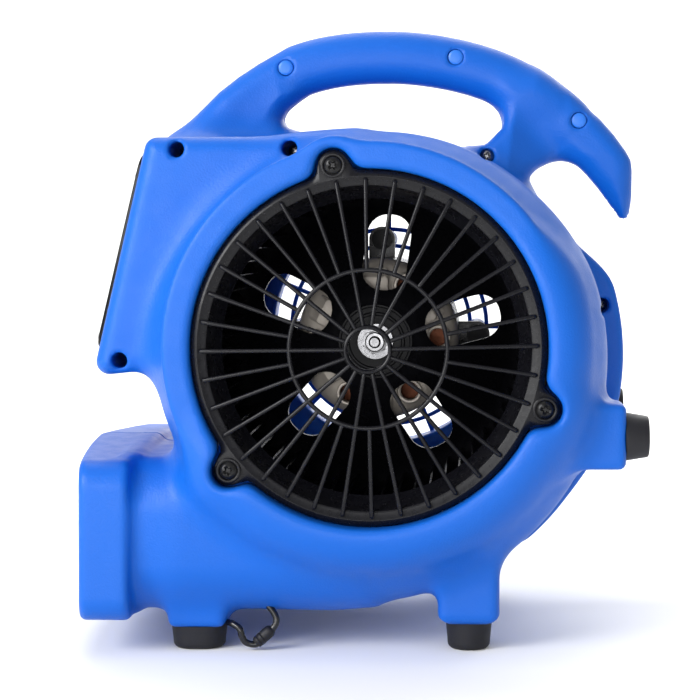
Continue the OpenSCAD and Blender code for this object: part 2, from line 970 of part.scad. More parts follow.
module floor_feet() {
    color(rubber)
        for (side = [-1, 1]) {
            floor_foot(front_foot_x, side * foot_y, foot_h, foot_long / 2);
            floor_foot(rear_foot_x, side * foot_y, rear_foot_h, 0.2);
        }
}

module back_feet() {
    color(rubber)
        for (side = [-1, 1])
            translate([back_face_x, side * back_foot_y, back_foot_z])
                rotate([0, 90, 0])
                    difference() {
                        cylinder(h = back_foot_len, r1 = 11.7, r2 = 10);
                        translate([0, 0, 6])
                            cylinder(h = 7, r = 4.2);
                        translate([0, 0, -1])
                            cylinder(h = 9, r = 2.3);
                    }
}

module foot_screw() {
    difference() {
        union() {
            cylinder(h = 2.4, r = 3.8);
            cylinder(h = 14, r = 2.2);
        }
        cube([4.6, 1, 2], center = true);
        cube([1, 4.6, 2], center = true);
    }
}

module foot_screws() {
    color(steel)
        for (side = [-1, 1]) {
            translate([front_foot_x, side * foot_y, 3.6])
                foot_screw();
            translate([rear_foot_x, side * foot_y, 3.6])
                foot_screw();
            translate([back_tip_x - 3.1, side * back_foot_y, back_foot_z])
                rotate([0, -90, 0])
                    foot_screw();
        }
}

module cord_gland() {
    color(rubber)
        translate(gland_at)
            rotate([0, 90, 0])
                difference() {
                    union() {
                        translate([0, 0, -6])
                            cylinder(h = 8, r = 5.95);
                        translate([0, 0, -1])
                            cylinder(h = 3, r = 8);
                        translate([0, 0, 1.9])
                            cylinder(h = 9, r1 = 6, r2 = 4.6);
                    }
                    translate([0, 0, -7])
                        cylinder(h = 20, r = 3.6);
                }
}

function unit(v) = v / norm(v);
function mix_point(p, k, t) =
    let (a = p[max(k - 1, 0)], b = p[k], c = p[k + 1], d = p[min(k + 2, len(p) - 1)])
    0.5 * (2 * b + (c - a) * t + (2 * a - 5 * b + 4 * c - d) * t * t
        + (3 * b - a - 3 * c + d) * t * t * t);
function route(p, n) = [for (k = [0 : len(p) - 2]) for (i = [0 : n - 1]) mix_point(p, k, i / n),
    p[len(p) - 1]];

// A limp round cord through a few route points.
module cord(p, r) {
    q = route(p, 2);
    n = len(q);
    rings = [for (k = [0 : n - 1])
        let (t = unit(q[min(k + 1, n - 1)] - q[max(k - 1, 0)]),
            u = unit(cross(t, [0, 1, 0.01])), v = cross(t, u))
        for (i = [0 : tube_sides - 1])
            q[k] + r * (u * cos(360 * i / tube_sides) + v * sin(360 * i / tube_sides))];
    walls = [for (k = [0 : n - 2]) for (i = [0 : tube_sides - 1])
        let (a = k * tube_sides + i, b = k * tube_sides + (i + 1) % tube_sides)
        [a, b, b + tube_sides, a + tube_sides]];
    polyhedron(points = rings, faces = concat(walls,
        [[for (i = [tube_sides - 1 : -1 : 0]) i]],
        [[for (i = [0 : tube_sides - 1]) (n - 1) * tube_sides + i]]));
}

module tether_cord() {
    color(black) {
        cord(tether_left, tether_r);
        cord(tether_right, tether_r);
    }
}

module tether_lock() {
    d = lock_to - lock_from;
    color(rubber)
        translate(lock_from)
            rotate([0, atan2(d[0], d[2]), 0])
                cylinder(h = norm(d), r = lock_r);
}

intake_side_housing();
motor_side_housing();
handle_plugs();
housing_screws();
intake_grille();
grille_screws();
outlet_grille();
impeller_wheel();
impeller_hub();
hub_washer();
hub_nut();
motor_shaft();
motor_rotor();
stator_core();
motor_winding();
motor_shell();
motor_front_bell();
motor_rear_bell();
motor_bearings();
motor_mounts();
mount_bushings();
control_panel();
panel_screws();
speed_knob();
rotary_switch();
receptacles();
breaker_body();
reset_button();
capacitor();
floor_feet();
back_feet();
foot_screws();
cord_gland();
tether_cord();
tether_lock();
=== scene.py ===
import math

import bmesh
import bpy
import numpy as np
import openvdb as vdb
from mathutils import Matrix, Vector


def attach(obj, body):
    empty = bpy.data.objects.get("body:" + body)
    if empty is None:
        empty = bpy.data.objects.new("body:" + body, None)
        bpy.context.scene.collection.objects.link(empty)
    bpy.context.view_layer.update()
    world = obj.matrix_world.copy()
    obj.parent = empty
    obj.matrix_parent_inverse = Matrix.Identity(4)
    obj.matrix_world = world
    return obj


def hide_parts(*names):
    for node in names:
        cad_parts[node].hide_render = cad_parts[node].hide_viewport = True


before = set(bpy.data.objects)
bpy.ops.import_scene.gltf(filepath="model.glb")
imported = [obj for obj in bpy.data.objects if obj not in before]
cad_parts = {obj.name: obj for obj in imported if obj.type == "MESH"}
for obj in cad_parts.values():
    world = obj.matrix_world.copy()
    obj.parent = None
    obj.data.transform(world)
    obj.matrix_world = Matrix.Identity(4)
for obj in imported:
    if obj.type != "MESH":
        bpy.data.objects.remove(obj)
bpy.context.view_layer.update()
MM = 0.001


# ---------------- shared sizes, in mm
# _R is a radius and _HALF a half width along Y. The intake faces -Y and the outlet -X.
FAN_X, FAN_Z = 7.5, 150.0
SCROLL_TOP, SCROLL_GROW, GROW_POWER = 105.0, 23.0, 1.3
BODY_HALF = 99.0
HANDLE_X, HANDLE_Z, HANDLE_PATH = 13.0, 166.0, 131.7
GRIP = 13.8
RING_Y, RING_R, INTAKE_R = -110.0, 99.0, 85.6
RIM_R, EAR_R, EAR_PATH = 85.1, 7.6, 88.7
EAR_ANGLES = (101, -19, -139)
COLLAR_BACK, COLLAR_FRONT, COLLAR_BOW, COLLAR_HALF = -109.0, -142.3, 9.5, 101.3
REAR_DOME_R, REAR_FACE_Y, REAR_OPENING_R = 84.0, 118.2, 66.0
BOX_HALF, BOX_CORNER, FLANGE_HALF = 87.0, 6.5, 24.0
FLOOR_FOOT_Y, BACK_FOOT_Y, BACK_FOOT_Z = 71.0, 84.0, 106.0
FRONT_FOOT_X, REAR_FOOT_X, BACK_TIP_X = -78.5, 55.0, 142.4


# ---------------- camera and light
def camera():
    cam = bpy.data.cameras.new("camera")
    cam.sensor_width = 36
    cam.lens = 99.7
    cam.clip_end = 20
    cam.shift_x, cam.shift_y = -0.12, -0.117
    ob = bpy.data.objects.new("camera", cam)
    bpy.context.scene.collection.objects.link(ob)
    ob.location = (0.0585, -1.0272, 0.2049)
    aim = Vector((-0.02167, 1.0, -0.01806))
    ob.rotation_euler = aim.to_track_quat("-Z", "Y").to_euler()
    bpy.context.scene.camera = ob


def area_light(name, place, target, size, power):
    data = bpy.data.lights.new(name, "AREA")
    data.shape = "RECTANGLE"
    data.size, data.size_y = size
    data.energy = power
    ob = bpy.data.objects.new(name, data)
    bpy.context.scene.collection.objects.link(ob)
    ob.location = place
    ob.rotation_euler = (Vector(target) - Vector(place)).to_track_quat("-Z", "Y").to_euler()


def studio():
    world = bpy.data.worlds.new("studio")
    world.use_nodes = True
    background = world.node_tree.nodes["Background"]
    background.inputs["Color"].default_value = (1, 1, 1, 1)
    background.inputs["Strength"].default_value = 0.54
    bpy.context.scene.world = world
    area_light("key", (-1.3, -1.2, 0.85), (0, 0, 0.15), (1.0, 1.0), 34)
    area_light("low_front", (-0.35, -1.5, 0.22), (0, 0, 0.12), (1.0, 0.4), 7)
    area_light("top", (-0.1, 0.1, 1.5), (0, 0, 0.1), (1.2, 1.0), 3)
    area_light("back", (0.3, 1.3, 0.9), (0, 0, 0.15), (1.2, 1.0), 8)
    area_light("backdrop", (0.4, 1.2, 2.2), (0.2, 2.6, 0.4), (3.0, 1.0), 60)


camera()
studio()
bpy.context.scene.view_settings.view_transform = "Standard"


# ---------------- distances, in mm
def soft_min(a, b, k):
    """The smaller of two distances, blended over k where they meet."""
    h = np.maximum(k - np.abs(a - b), 0) / k
    return np.minimum(a, b) - h * h * k * 0.25


def soft_max(a, b, k):
    return -soft_min(-a, -b, k)


def ramp(v, start, end):
    """Goes smoothly from 0 at start to 1 at end."""
    t = np.clip((v - start) / (end - start), 0, 1)
    return t * t * (3 - 2 * t)


def slab(flat, y, half, r):
    """A flat shape given a half thickness along Y, with rounded edges."""
    u, v = flat + r, y - half + r
    return np.minimum(np.maximum(u, v), 0) + np.hypot(np.maximum(u, 0), np.maximum(v, 0)) - r


def outline(x, z, corners):
    """Distance to a closed outline in the X-Z plane, negative inside."""
    best = np.full(np.broadcast(x, z).shape, 1e9, np.float32)
    inside = np.zeros(best.shape, bool)
    for (ax, az), (bx, bz) in zip(corners, corners[1:] + corners[:1]):
        ex, ez = bx - ax, bz - az
        t = np.clip(((x - ax) * ex + (z - az) * ez) / (ex * ex + ez * ez), 0, 1)
        best = np.minimum(best, np.hypot(x - ax - t * ex, z - az - t * ez))
        if az != bz:
            cross = (az > z) != (bz > z)
            inside ^= cross & (x < (bx - ax) * (z - az) / (bz - az) + ax)
    return np.where(inside, -best, best)


def path_tube(x, z, stations):
    """Planar distance to a line of stations (x, z, radius), and the radius at the nearest point."""
    best = np.full(np.broadcast(x, z).shape, 1e9, np.float32)
    away, radius = best.copy(), best.copy()
    for (ax, az, ar), (bx, bz, br) in zip(stations, stations[1:]):
        ex, ez = bx - ax, bz - az
        t = np.clip(((x - ax) * ex + (z - az) * ez) / (ex * ex + ez * ez), 0, 1)
        d = np.hypot(x - ax - t * ex, z - az - t * ez)
        r = ar + t * (br - ar)
        nearer = d - r < best
        best = np.where(nearer, d - r, best)
        away = np.where(nearer, d, away)
        radius = np.where(nearer, r, radius)
    return away, radius


def at_fan(radius, degrees):
    """X and Z of a point at a radius and direction from the fan axis."""
    turn = math.radians(degrees)
    return FAN_X + radius * math.cos(turn), FAN_Z + radius * math.sin(turn)


def scroll_radius(degrees):
    """The scroll's radius, which grows from its top clockwise to the outlet."""
    grown = np.clip((90 - degrees) / 180, 0, 2) ** GROW_POWER
    return SCROLL_TOP + SCROLL_GROW * (grown + 1.25 ** GROW_POWER * ramp(degrees, 205, 225))


def fan_polar(x, z):
    """Radius and direction from the fan axis, in degrees from -135 to 225."""
    radius = np.hypot(x - FAN_X, z - FAN_Z)
    degrees = np.degrees(np.arctan2(z - FAN_Z, x - FAN_X))
    return radius, np.where(degrees < -135, degrees + 360, degrees)


# Outlines in the X-Z plane: the duct, its air space, and the control box inside its rounded corners.
DUCT = [(-160, 18.3), (-40, 18.3), (-12, 19.8), (8, 22.9), (30, 60), (8, 100), (-60, 94.5), (-160, 94.5)]
DUCT_AIR = [(-150, 23.3), (-40, 23.3), (-12, 24.6), (6, 26.4), (26, 60), (6, 96.5), (-60, 91.0),
            (-150, 91.0)]
BOX = [(-121.5, 142.0), (-92, 145), (-40, 156), (-1, 206), (-2.5, 244.6), (-28.4, 246.1), (-40, 245.7),
       (-97.6, 245.4)]


def grip_path(a):
    """The handle's arc, which opens out a little towards its root and its tail."""
    return HANDLE_PATH + 2.0 * float(ramp(a, 90, 112)) + 2.6 * float(ramp(a, 84, 54))


GRIP_LINE = [(HANDLE_X + grip_path(a) * math.cos(math.radians(a)),
              HANDLE_Z + grip_path(a) * math.sin(math.radians(a)), GRIP) for a in range(47, 112, 2)]
TAIL = [(106.5, 279.2), (114.2, 273.2), (123.6, 265.0), (131.0, 256.7), (136.9, 248.6), (139.9, 243.2),
        (140.6, 238.0), (140.6, 224.7), (139.4, 214.6), (138.0, 211.9), (135.9, 211.4), (133.9, 212.8),
        (129.5, 219.3), (123.6, 227.6), (117.5, 235.0), (112.8, 239.8), (107.5, 244.3), (103.5, 247.5),
        (99.5, 254.0), (98.0, 268.0)]
# The grip's line goes on from the arc, straighter and straighter, down into the box.
ROOT_LINE = [(-39.3, 288.4, 13.7), (-49.4, 282.8, 13.6), (-58.8, 276.6, 13.6), (-68.1, 269.4, 13.6),
             (-77.9, 259.6, 13.6), (-84.0, 252.6, 13.6), (-93.0, 241.0, 14)]
ROOT_WEB = [(-86, 236), (-72, 253), (-57, 270), (-45, 281), (-38.5, 279), (-43.5, 271), (-45.2, 265),
            (-43.2, 259.5), (-35, 254.5), (-20, 240)]
PILLAR = [(48, 240), (56.0, 248.4), (63.5, 250.8), (72.0, 259.8), (74.4, 268.5), (76, 280), (90, 283),
          (112, 262), (105, 247.3), (98.3, 242.9), (90.8, 238.8), (84.8, 233.5), (86.6, 224), (75, 215)]


def handle_shape(x, y, z):
    """The grip with its root in the box, its hooked tail and the web at the root."""
    away, radius = path_tube(x, z, GRIP_LINE + ROOT_LINE)
    flare = 1 - 0.2 * ramp(x, -45, -85)
    grip = (away ** 2.3 + (np.maximum(y, 0) * flare) ** 2.3) ** (1 / 2.3) - radius
    tail = slab(outline(x, z, TAIL), y, 13.4 - 5.5 * np.clip((246 - z) / 34, 0, 1), 9.5)
    web = slab(outline(x, z, ROOT_WEB), y, 13.0, 8)
    bar = soft_min(grip, tail, 2.5)
    return soft_min(bar, web, 10)


def pillar_shape(x, y, z):
    """The post under the handle: a ridge from the grip that spreads into the scroll."""
    drop = np.clip((274 - z) / 34, 0, 1)
    half = 13 + 13 * drop
    ridge_x = 79 - 4 * drop
    lean = np.maximum(x - ridge_x, 0) * 0.62 * ramp(z, 280, 262)
    return slab(outline(x, z, PILLAR), y, half - lean, 6) * 0.85


def scroll_flat(x, z):
    radius, degrees = fan_polar(x, z)
    return (radius - scroll_radius(degrees)) * 0.97


def body_half(x, z):
    """Half the body's width along Y, a little less low down and towards the mouth."""
    half = BODY_HALF - 6 * np.clip((78 - z) / 58, 0, 1) ** 2
    return half - 2.4 * ramp(x, -84, -104) * ramp(z, 110, 96)


def scroll_shape(x, y, z):
    half = body_half(x, z)
    flat = soft_min(scroll_flat(x, z), outline(x, z, DUCT), 12)
    return np.maximum(slab(flat, y, half, 26), -114 - x)


def ring_shape(x, y, z, body):
    """The raised ring round the intake, crisp at the upper left and melted in elsewhere."""
    radius, degrees = fan_polar(x, z)
    crisp = ramp(degrees, 15, 45) * ramp(degrees, 222, 196)
    base = slab(radius - 96.5, y, -RING_Y - 3.5, 8)
    body = soft_min(body, base, 26 - 18 * ramp(degrees, 20, 60) * ramp(degrees, 200, 130))
    edge = radius - RING_R
    for angle in EAR_ANGLES:
        ex, ez = at_fan(EAR_PATH, angle)
        edge = soft_min(edge, np.hypot(x - ex, z - ez) - 13.4, 8)
    top = slab(edge, y, -RING_Y, 9 - 7 * crisp)
    return soft_min(body, top, 22 - 20.5 * crisp)


def collar_shape(x, y, z):
    """The collar of the outlet, with a front that bows back to its sides."""
    crest = 98.6 - 0.045 * y
    reach = np.clip(1 - y / COLLAR_HALF, 0, 1)
    front = COLLAR_FRONT + COLLAR_BOW * (1 - reach) ** 1.6
    u = np.maximum(front - x, x - COLLAR_BACK)
    v = y - COLLAR_HALF
    w = np.maximum(z - crest, 16.5 - z)
    corner = 12.5
    side = np.minimum(np.maximum(v + corner, w + corner), 0) + \
        np.hypot(np.maximum(v + corner, 0), np.maximum(w + corner, 0)) - corner
    return soft_max(side, u, 4)


def flange_shape(x, y, z):
    """The seam flange that stands out from the scroll behind the fan."""
    radius, degrees = fan_polar(x, z)
    stand = 12.8 * ramp(degrees, 31, 12) * (1 - 0.38 * ramp(degrees, -12, -42)) * ramp(degrees, -66, -52)
    band = (radius - scroll_radius(degrees) - stand) * 0.9
    band = np.maximum(band, np.maximum(degrees - 31, -65 - degrees) * 1.9)
    return slab(band, y, FLANGE_HALF, 3)


def block(x, y, z, low, high, r):
    """A box with rounded edges between two corners."""
    centre = [(a + b) / 2 for a, b in zip(low, high)]
    half = [(b - a) / 2 - r for a, b in zip(low, high)]
    q = [np.abs(v - c) - h for v, c, h in zip((x, y, z), centre, half)]
    out = np.sqrt(sum(np.maximum(v, 0) ** 2 for v in q))
    return out + np.minimum(np.maximum(np.maximum(q[0], q[1]), q[2]), 0) - r


def bosses(x, y, z, body):
    """Adds the blocks that carry the feet."""
    front = block(x, y, z, (FRONT_FOOT_X - 14, FLOOR_FOOT_Y - 13, 11.5),
                  (FRONT_FOOT_X + 14, FLOOR_FOOT_Y + 13, 40), 3.5)
    body = soft_min(body, front, 9)
    tall = block(x, y, z, (REAR_FOOT_X - 15.6, FLOOR_FOOT_Y - 14, 13.5),
                 (REAR_FOOT_X + 15.6, FLOOR_FOOT_Y + 15, 62), 5)
    taper = np.abs(x - REAR_FOOT_X) - 15.6 + 5.5 * np.clip((19 - z) / 5.5, 0, 1) ** 2
    body = soft_min(body, soft_max(tall, taper, 2), 9)
    back = block(x, y, z, (95, BACK_FOOT_Y - 12.5, 90.8), (130.9, BACK_FOOT_Y + 12.5, 122.8), 3.5)
    return soft_min(body, back, 8)


def cavity(x, y, z):
    """The air space inside the scroll, the duct and the mouth."""
    inner = slab(scroll_flat(x, z) + 4, y, body_half(x, z) - 3.5, 24)
    duct = slab(outline(x, z, DUCT_AIR), y, body_half(x, z) - 4, 20)
    mouth = np.maximum(y - 88.2, np.maximum(z - 91.5, 23.2 - z))
    return np.minimum(np.minimum(inner, duct), np.maximum(mouth, x + 112))


# Each screw well: X and Z, the depth of the face that it opens in and how far the head is sunk.
SCREWS = ((-87.5, 245.6, BOX_HALF, 36.0), (-32.0, 246.0, BOX_HALF, 30.0), (-115.6, 142.8, BOX_HALF, 36.0),
          (64.2, 244.8, FLANGE_HALF, 4.5), (123.4, 167.6, FLANGE_HALF, 9.0))
PLUGS = ((-41.1, 291.4), (47.8, 296.7), (112.1, 263.7))
WELL_R, PLUG_HOLE_R = 3.9, 4.15
SEAM = 0.07
PANEL_LOW, PANEL_HIGH = np.array((-127.0, 145.0)), np.array((-104.5, 241.0))
PANEL_MID = (PANEL_LOW + PANEL_HIGH) / 2
PANEL_UP = (PANEL_HIGH - PANEL_LOW) / np.linalg.norm(PANEL_HIGH - PANEL_LOW)
PANEL_LIFT = 2.5
KNOB_AT, BREAKER_AT = (18, 34), (20, -38)
RECEPTACLES_AT = ((-20, -30), (-20, 30))


def housing(x, y, z, near):
    """One half of the housing. y is the depth from the seam, never negative."""
    radius, _ = fan_polar(x, z)
    body = scroll_shape(x, y, z)
    box = slab(outline(x, z, BOX) - BOX_CORNER, y, BOX_HALF, 8.5)
    upper = soft_min(box, handle_shape(x, y, z), 19)
    body = soft_min(body, upper, 14)
    body = soft_min(body, pillar_shape(x, y, z), 12)
    body = soft_min(body, flange_shape(x, y, z), 5)
    body = bosses(x, y, z, body)
    if near:
        body = ring_shape(x, y, z, body)
    else:
        dome = slab(radius - REAR_DOME_R, y, REAR_FACE_Y, 16)
        body = soft_min(body, dome, 12)
    body = soft_min(body, collar_shape(x, y, z), 6)
    body = soft_max(body, -cavity(x, y, z), 1.5)
    if near:
        hole = radius - INTAKE_R
        for angle in EAR_ANGLES:
            ex, ez = at_fan(EAR_PATH, angle)
            hole = soft_min(hole, np.hypot(x - ex, z - ez) - EAR_R - 0.8, 9)
        body = soft_max(body, -np.maximum(hole, 96 - y), 4.0)
        for sx, sz, face, sunk in SCREWS:
            well = np.maximum(np.hypot(x - sx, z - sz) - WELL_R, face - sunk - 0.5 - y)
            body = soft_max(body, -well, 1.6)
        for px, pz in PLUGS:
            hole = np.maximum(np.hypot(x - px, z - pz) - PLUG_HOLE_R, GRIP - 4 - y)
            body = soft_max(body, -hole, 0.8)
    else:
        body = soft_max(body, -np.maximum(radius - REAR_OPENING_R, 80 - y), 3)
    panel_x, panel_z = PANEL_MID
    along = (x - panel_x) * PANEL_UP[0] + (z - panel_z) * PANEL_UP[1]
    out = (x - panel_x) * -PANEL_UP[1] + (z - panel_z) * PANEL_UP[0]
    seat = np.maximum(np.maximum(np.abs(along - PANEL_LIFT) - 49.9, y - 72.4), 0.6 - out)
    body = soft_max(body, -seat, 1.2)
    # Pockets behind the receptacles, and behind the breaker on the near side.
    up, across = RECEPTACLES_AT[1]
    pocket = np.maximum(np.maximum(np.abs(along - up) - 12.6, np.abs(y - across) - 16.6), -11 - out)
    body = np.maximum(body, -pocket)
    if near:
        up, across = BREAKER_AT
        body = np.maximum(body, -np.maximum(np.hypot(along - up, y + across) - 8, -22 - out))
    return np.maximum(body, SEAM - y)


def mesh_object(name, points, faces):
    mesh = bpy.data.meshes.new(name)
    mesh.from_pydata([tuple(p) for p in points], [], [tuple(f) for f in faces])
    mesh.update()
    mesh.shade_smooth()
    ob = bpy.data.objects.new(name, mesh)
    bpy.context.scene.collection.objects.link(ob)
    return ob


def field_mesh(name, shape, low_corner, high_corner, cell, side):
    """Meshes the zero level of a distance function and pulls each point onto it."""
    axes = [np.arange(a, b, cell, dtype=np.float32) for a, b in zip(low_corner, high_corner)]
    x, y, z = axes[0][:, None, None], axes[1][None, :, None], axes[2][None, None, :]
    values = shape(x, y, z).astype(np.float32)
    values[:, 0, :] = np.maximum(values[:, 0, :], 0.5)
    grid = vdb.FloatGrid()
    grid.background = 5.0
    grid.copyFromArray(np.ascontiguousarray(values))
    points, quads = grid.convertToQuads(0.0)
    points = points * cell + np.array(low_corner, np.float32)
    for _ in range(3):
        x, y, z = points.T
        y = np.maximum(y, 0)
        here = shape(x, y, z)
        step = 0.25
        slope = np.stack([shape(x + step, y, z) - here, shape(x, y + step, z) - here,
                          shape(x, y, z + step) - here], 1) / step
        length = np.maximum((slope ** 2).sum(1), 0.25)
        move = np.clip(here / length, -cell, cell)[:, None] * slope
        points = points - np.clip(move, -cell * 0.7, cell * 0.7)
    at_seam = shape(points[:, 0], np.full(len(points), SEAM), points[:, 2])
    rim = (points[:, 1] < cell * 0.6) & (at_seam > -cell * 0.55)
    x, z = points[rim, 0], points[rim, 2]
    flat = np.full(len(x), 3 * SEAM)
    for _ in range(3):
        here = shape(x, flat, z)
        slope_x = (shape(x + step, flat, z) - here) / step
        slope_z = (shape(x, flat, z + step) - here) / step
        length = np.maximum(slope_x ** 2 + slope_z ** 2, 0.25)
        x, z = x - here * slope_x / length, z - here * slope_z / length
    near_rim = np.hypot(x - points[rim, 0], z - points[rim, 2]) < cell * 1.2
    index = np.flatnonzero(rim)[near_rim]
    points[index, 0], points[index, 2] = x[near_rim], z[near_rim]
    points[:, 1] *= side
    if side > 0:
        quads = quads[:, ::-1]
    return mesh_object(name, points * MM, quads)


CELL = 1.6
near_half = field_mesh("intake_side_shell", lambda x, y, z: housing(x, y, z, True),
                       (-146, -CELL, 9), (146, 114, 314), CELL, -1)
far_half = field_mesh("motor_side_shell", lambda x, y, z: housing(x, y, z, False),
                      (-146, -CELL, 9), (146, 122, 314), CELL, 1)


# ---------------- mesh helpers
class Build:
    """Gathers points and faces, in mm, and makes one object of them."""

    def __init__(self):
        self.points, self.faces = [], []

    def add(self, shape, place=None):
        points, faces = shape
        base = len(self.points)
        if place is not None:
            points = [place @ Vector(p) for p in points]
        self.points += [tuple(p) for p in points]
        self.faces += [tuple(i + base for i in f) for f in faces]
        return self

    def done(self, name, crease=35):
        ob = mesh_object(name, [tuple(c * MM for c in p) for p in self.points], self.faces)
        work = bmesh.new()
        work.from_mesh(ob.data)
        bmesh.ops.recalc_face_normals(work, faces=work.faces)
        work.to_mesh(ob.data)
        work.free()
        ob.data.shade_smooth()
        ob.data.set_sharp_from_angle(angle=math.radians(crease))
        return ob


def lathe(profile, steps=96):
    """Turns (radius, height) points about local Z. A profile off the axis closes on itself."""
    closed = profile[0][0] > 0
    points, faces, rings = [], [], []
    for radius, height in profile:
        if radius < 1e-6:
            rings.append([len(points)] * steps)
            points.append((0, 0, height))
        else:
            rings.append(list(range(len(points), len(points) + steps)))
            for i in range(steps):
                a = 2 * math.pi * i / steps
                points.append((radius * math.cos(a), radius * math.sin(a), height))
    pairs = list(zip(rings, rings[1:])) + ([(rings[-1], rings[0])] if closed else [])
    for low_ring, high_ring in pairs:
        for i in range(steps):
            j = (i + 1) % steps
            face = []
            for index in (low_ring[i], low_ring[j], high_ring[j], high_ring[i]):
                if index not in face:
                    face.append(index)
            if len(face) > 2:
                faces.append(face)
    return points, faces


def rod(radius, low, high, steps):
    return lathe([(0, low), (radius, low), (radius, high), (0, high)], steps)


def loft(loops, closed=False):
    """Joins loops of equally many points, in a ring or with a cap at each end."""
    n = len(loops[0])
    points = [p for loop in loops for p in loop]
    faces = []
    pairs = [(k, k + 1) for k in range(len(loops) - 1)] + ([(len(loops) - 1, 0)] if closed else [])
    for a, b in pairs:
        for i in range(n):
            j = (i + 1) % n
            faces.append((a * n + i, a * n + j, b * n + j, b * n + i))
    if not closed:
        faces.append(tuple(range(n - 1, -1, -1)))
        faces.append(tuple((len(loops) - 1) * n + i for i in range(n)))
    return points, faces


def tube(path, radii, sides=12, round_ends=True):
    """A round bar along a path, with rounded ends."""
    path = [Vector(p) for p in path]
    if not isinstance(radii, (list, tuple)):
        radii = [radii] * len(path)
    tangents = [(path[min(i + 1, len(path) - 1)] - path[max(i - 1, 0)]).normalized()
                for i in range(len(path))]
    side = tangents[0].orthogonal().normalized()
    stations = []
    for p, t, r in zip(path, tangents, radii):
        side = (side - t * side.dot(t)).normalized()
        stations.append((p, t, side.copy(), r))
    if round_ends:
        def end(station, sign):
            p, t, s, r = station
            return [(p + t * (sign * r * math.sin(a)), t, s, max(r * math.cos(a), 0.05 * r))
                    for a in (math.radians(d) for d in (30, 60, 85))]
        stations = end(stations[0], -1)[::-1] + stations + end(stations[-1], 1)
    loops = []
    for p, t, s, r in stations:
        other = t.cross(s)
        loops.append([tuple(p + r * (math.cos(a) * s + math.sin(a) * other))
                      for a in (2 * math.pi * i / sides for i in range(sides))])
    return loft(loops)


def rounded_rect(a, b, r, height=0.0, steps=6, at=(0, 0)):
    """A rounded rectangle's loop at a height."""
    loop = []
    for quarter, (sx, sy) in enumerate(((1, 1), (-1, 1), (-1, -1), (1, -1))):
        for i in range(steps + 1):
            turn = math.pi / 2 * (quarter + i / steps)
            loop.append((at[0] + sx * (a / 2 - r) + r * math.cos(turn),
                         at[1] + sy * (b / 2 - r) + r * math.sin(turn), height))
    return loop


def soft_plate(a, b, r, low_z, high_z, edge=0.8, sink=0.0, rim=0.0):
    """A rounded plate with a rounded top edge, and a sunk field inside a rim if asked."""
    steps = []
    for k in range(4):
        turn = math.pi / 2 * k / 3
        steps.append((edge * (1 - math.cos(turn)), edge - edge * math.sin(turn)))
    if sink:
        steps += [(rim, 0), (rim + 0.4, sink * 0.3), (rim + 0.8, sink)]
    loops = [rounded_rect(a, b, r, low_z)]
    for inset, drop in steps:
        loops.append(rounded_rect(a - 2 * inset, b - 2 * inset, max(r - inset, 0.3), high_z - drop))
    return loft(loops)


def toward(origin, axis, up=(0, 0, 1)):
    """A matrix that takes local Z to an axis at an origin, in mm."""
    z = Vector(axis).normalized()
    x = Vector(up).cross(z)
    x = x.normalized() if x.length > 1e-6 else z.orthogonal().normalized()
    y = z.cross(x)
    place = Matrix((x, y, z)).transposed().to_4x4()
    place.translation = Vector(origin)
    return place


# The fan axis: local Z is -Y, local X is +X and local Y is +Z. Heights along it are depths in front
# of the seam. BACKWARD is the same axis, seen from the motor side.
AXIS = Matrix.Translation((FAN_X, 0, FAN_Z)) @ Matrix(((1, 0, 0), (0, 0, -1), (0, 1, 0))).to_4x4()
BACKWARD = AXIS @ Matrix.Rotation(math.pi, 4, "X")


def aside(place, radius, degrees, height=0.0):
    """A place moved out from its local Z, in a direction."""
    turn = math.radians(degrees)
    return place @ Matrix.Translation((radius * math.cos(turn), radius * math.sin(turn), height))


def turned(place, degrees):
    return place @ Matrix.Rotation(math.radians(degrees), 4, "Z")


def pan_head(radius, rise, turn, shank):
    """A pan-head screw with a cross recess, seen along local Z, with its underside at 0."""
    rings, spokes = 14, 48
    points, faces = [(0, 0, rise - 1.5)], []
    reach, width = radius * 0.62, radius * 0.13
    for k in range(1, rings + 1):
        r = radius * (k / rings) ** 0.85
        for i in range(spokes):
            a = 2 * math.pi * i / spokes
            u, v = abs(r * math.cos(a + turn)), abs(r * math.sin(a + turn))
            along, off = max(u, v), min(u, v)
            dome = rise * (1 - 0.72 * (r / radius) ** 3.2)
            depth = 1.5 * min(max((reach - along) / (0.55 * reach), 0), 1)
            cut = depth * min(max((width + 0.22 - off) / 0.22, 0), 1)
            points.append((r * math.cos(a), r * math.sin(a), dome - cut))
    for i in range(spokes):
        faces.append((0, 1 + i, 1 + (i + 1) % spokes))
    for k in range(rings - 1):
        for i in range(spokes):
            a, b = 1 + k * spokes + i, 1 + k * spokes + (i + 1) % spokes
            faces.append((a, b, b + spokes, a + spokes))
    last = 1 + (rings - 1) * spokes
    for r, h in ((radius * 0.98, 0), (radius * 0.5, 0), (radius * 0.5, -shank)):
        base = len(points)
        points += [(r * math.cos(2 * math.pi * i / spokes), r * math.sin(2 * math.pi * i / spokes), h)
                   for i in range(spokes)]
        for i in range(spokes):
            j = (i + 1) % spokes
            faces.append((last + i, last + j, base + j, base + i))
        last = base
    faces.append(tuple(last + i for i in range(spokes - 1, -1, -1)))
    return points, faces


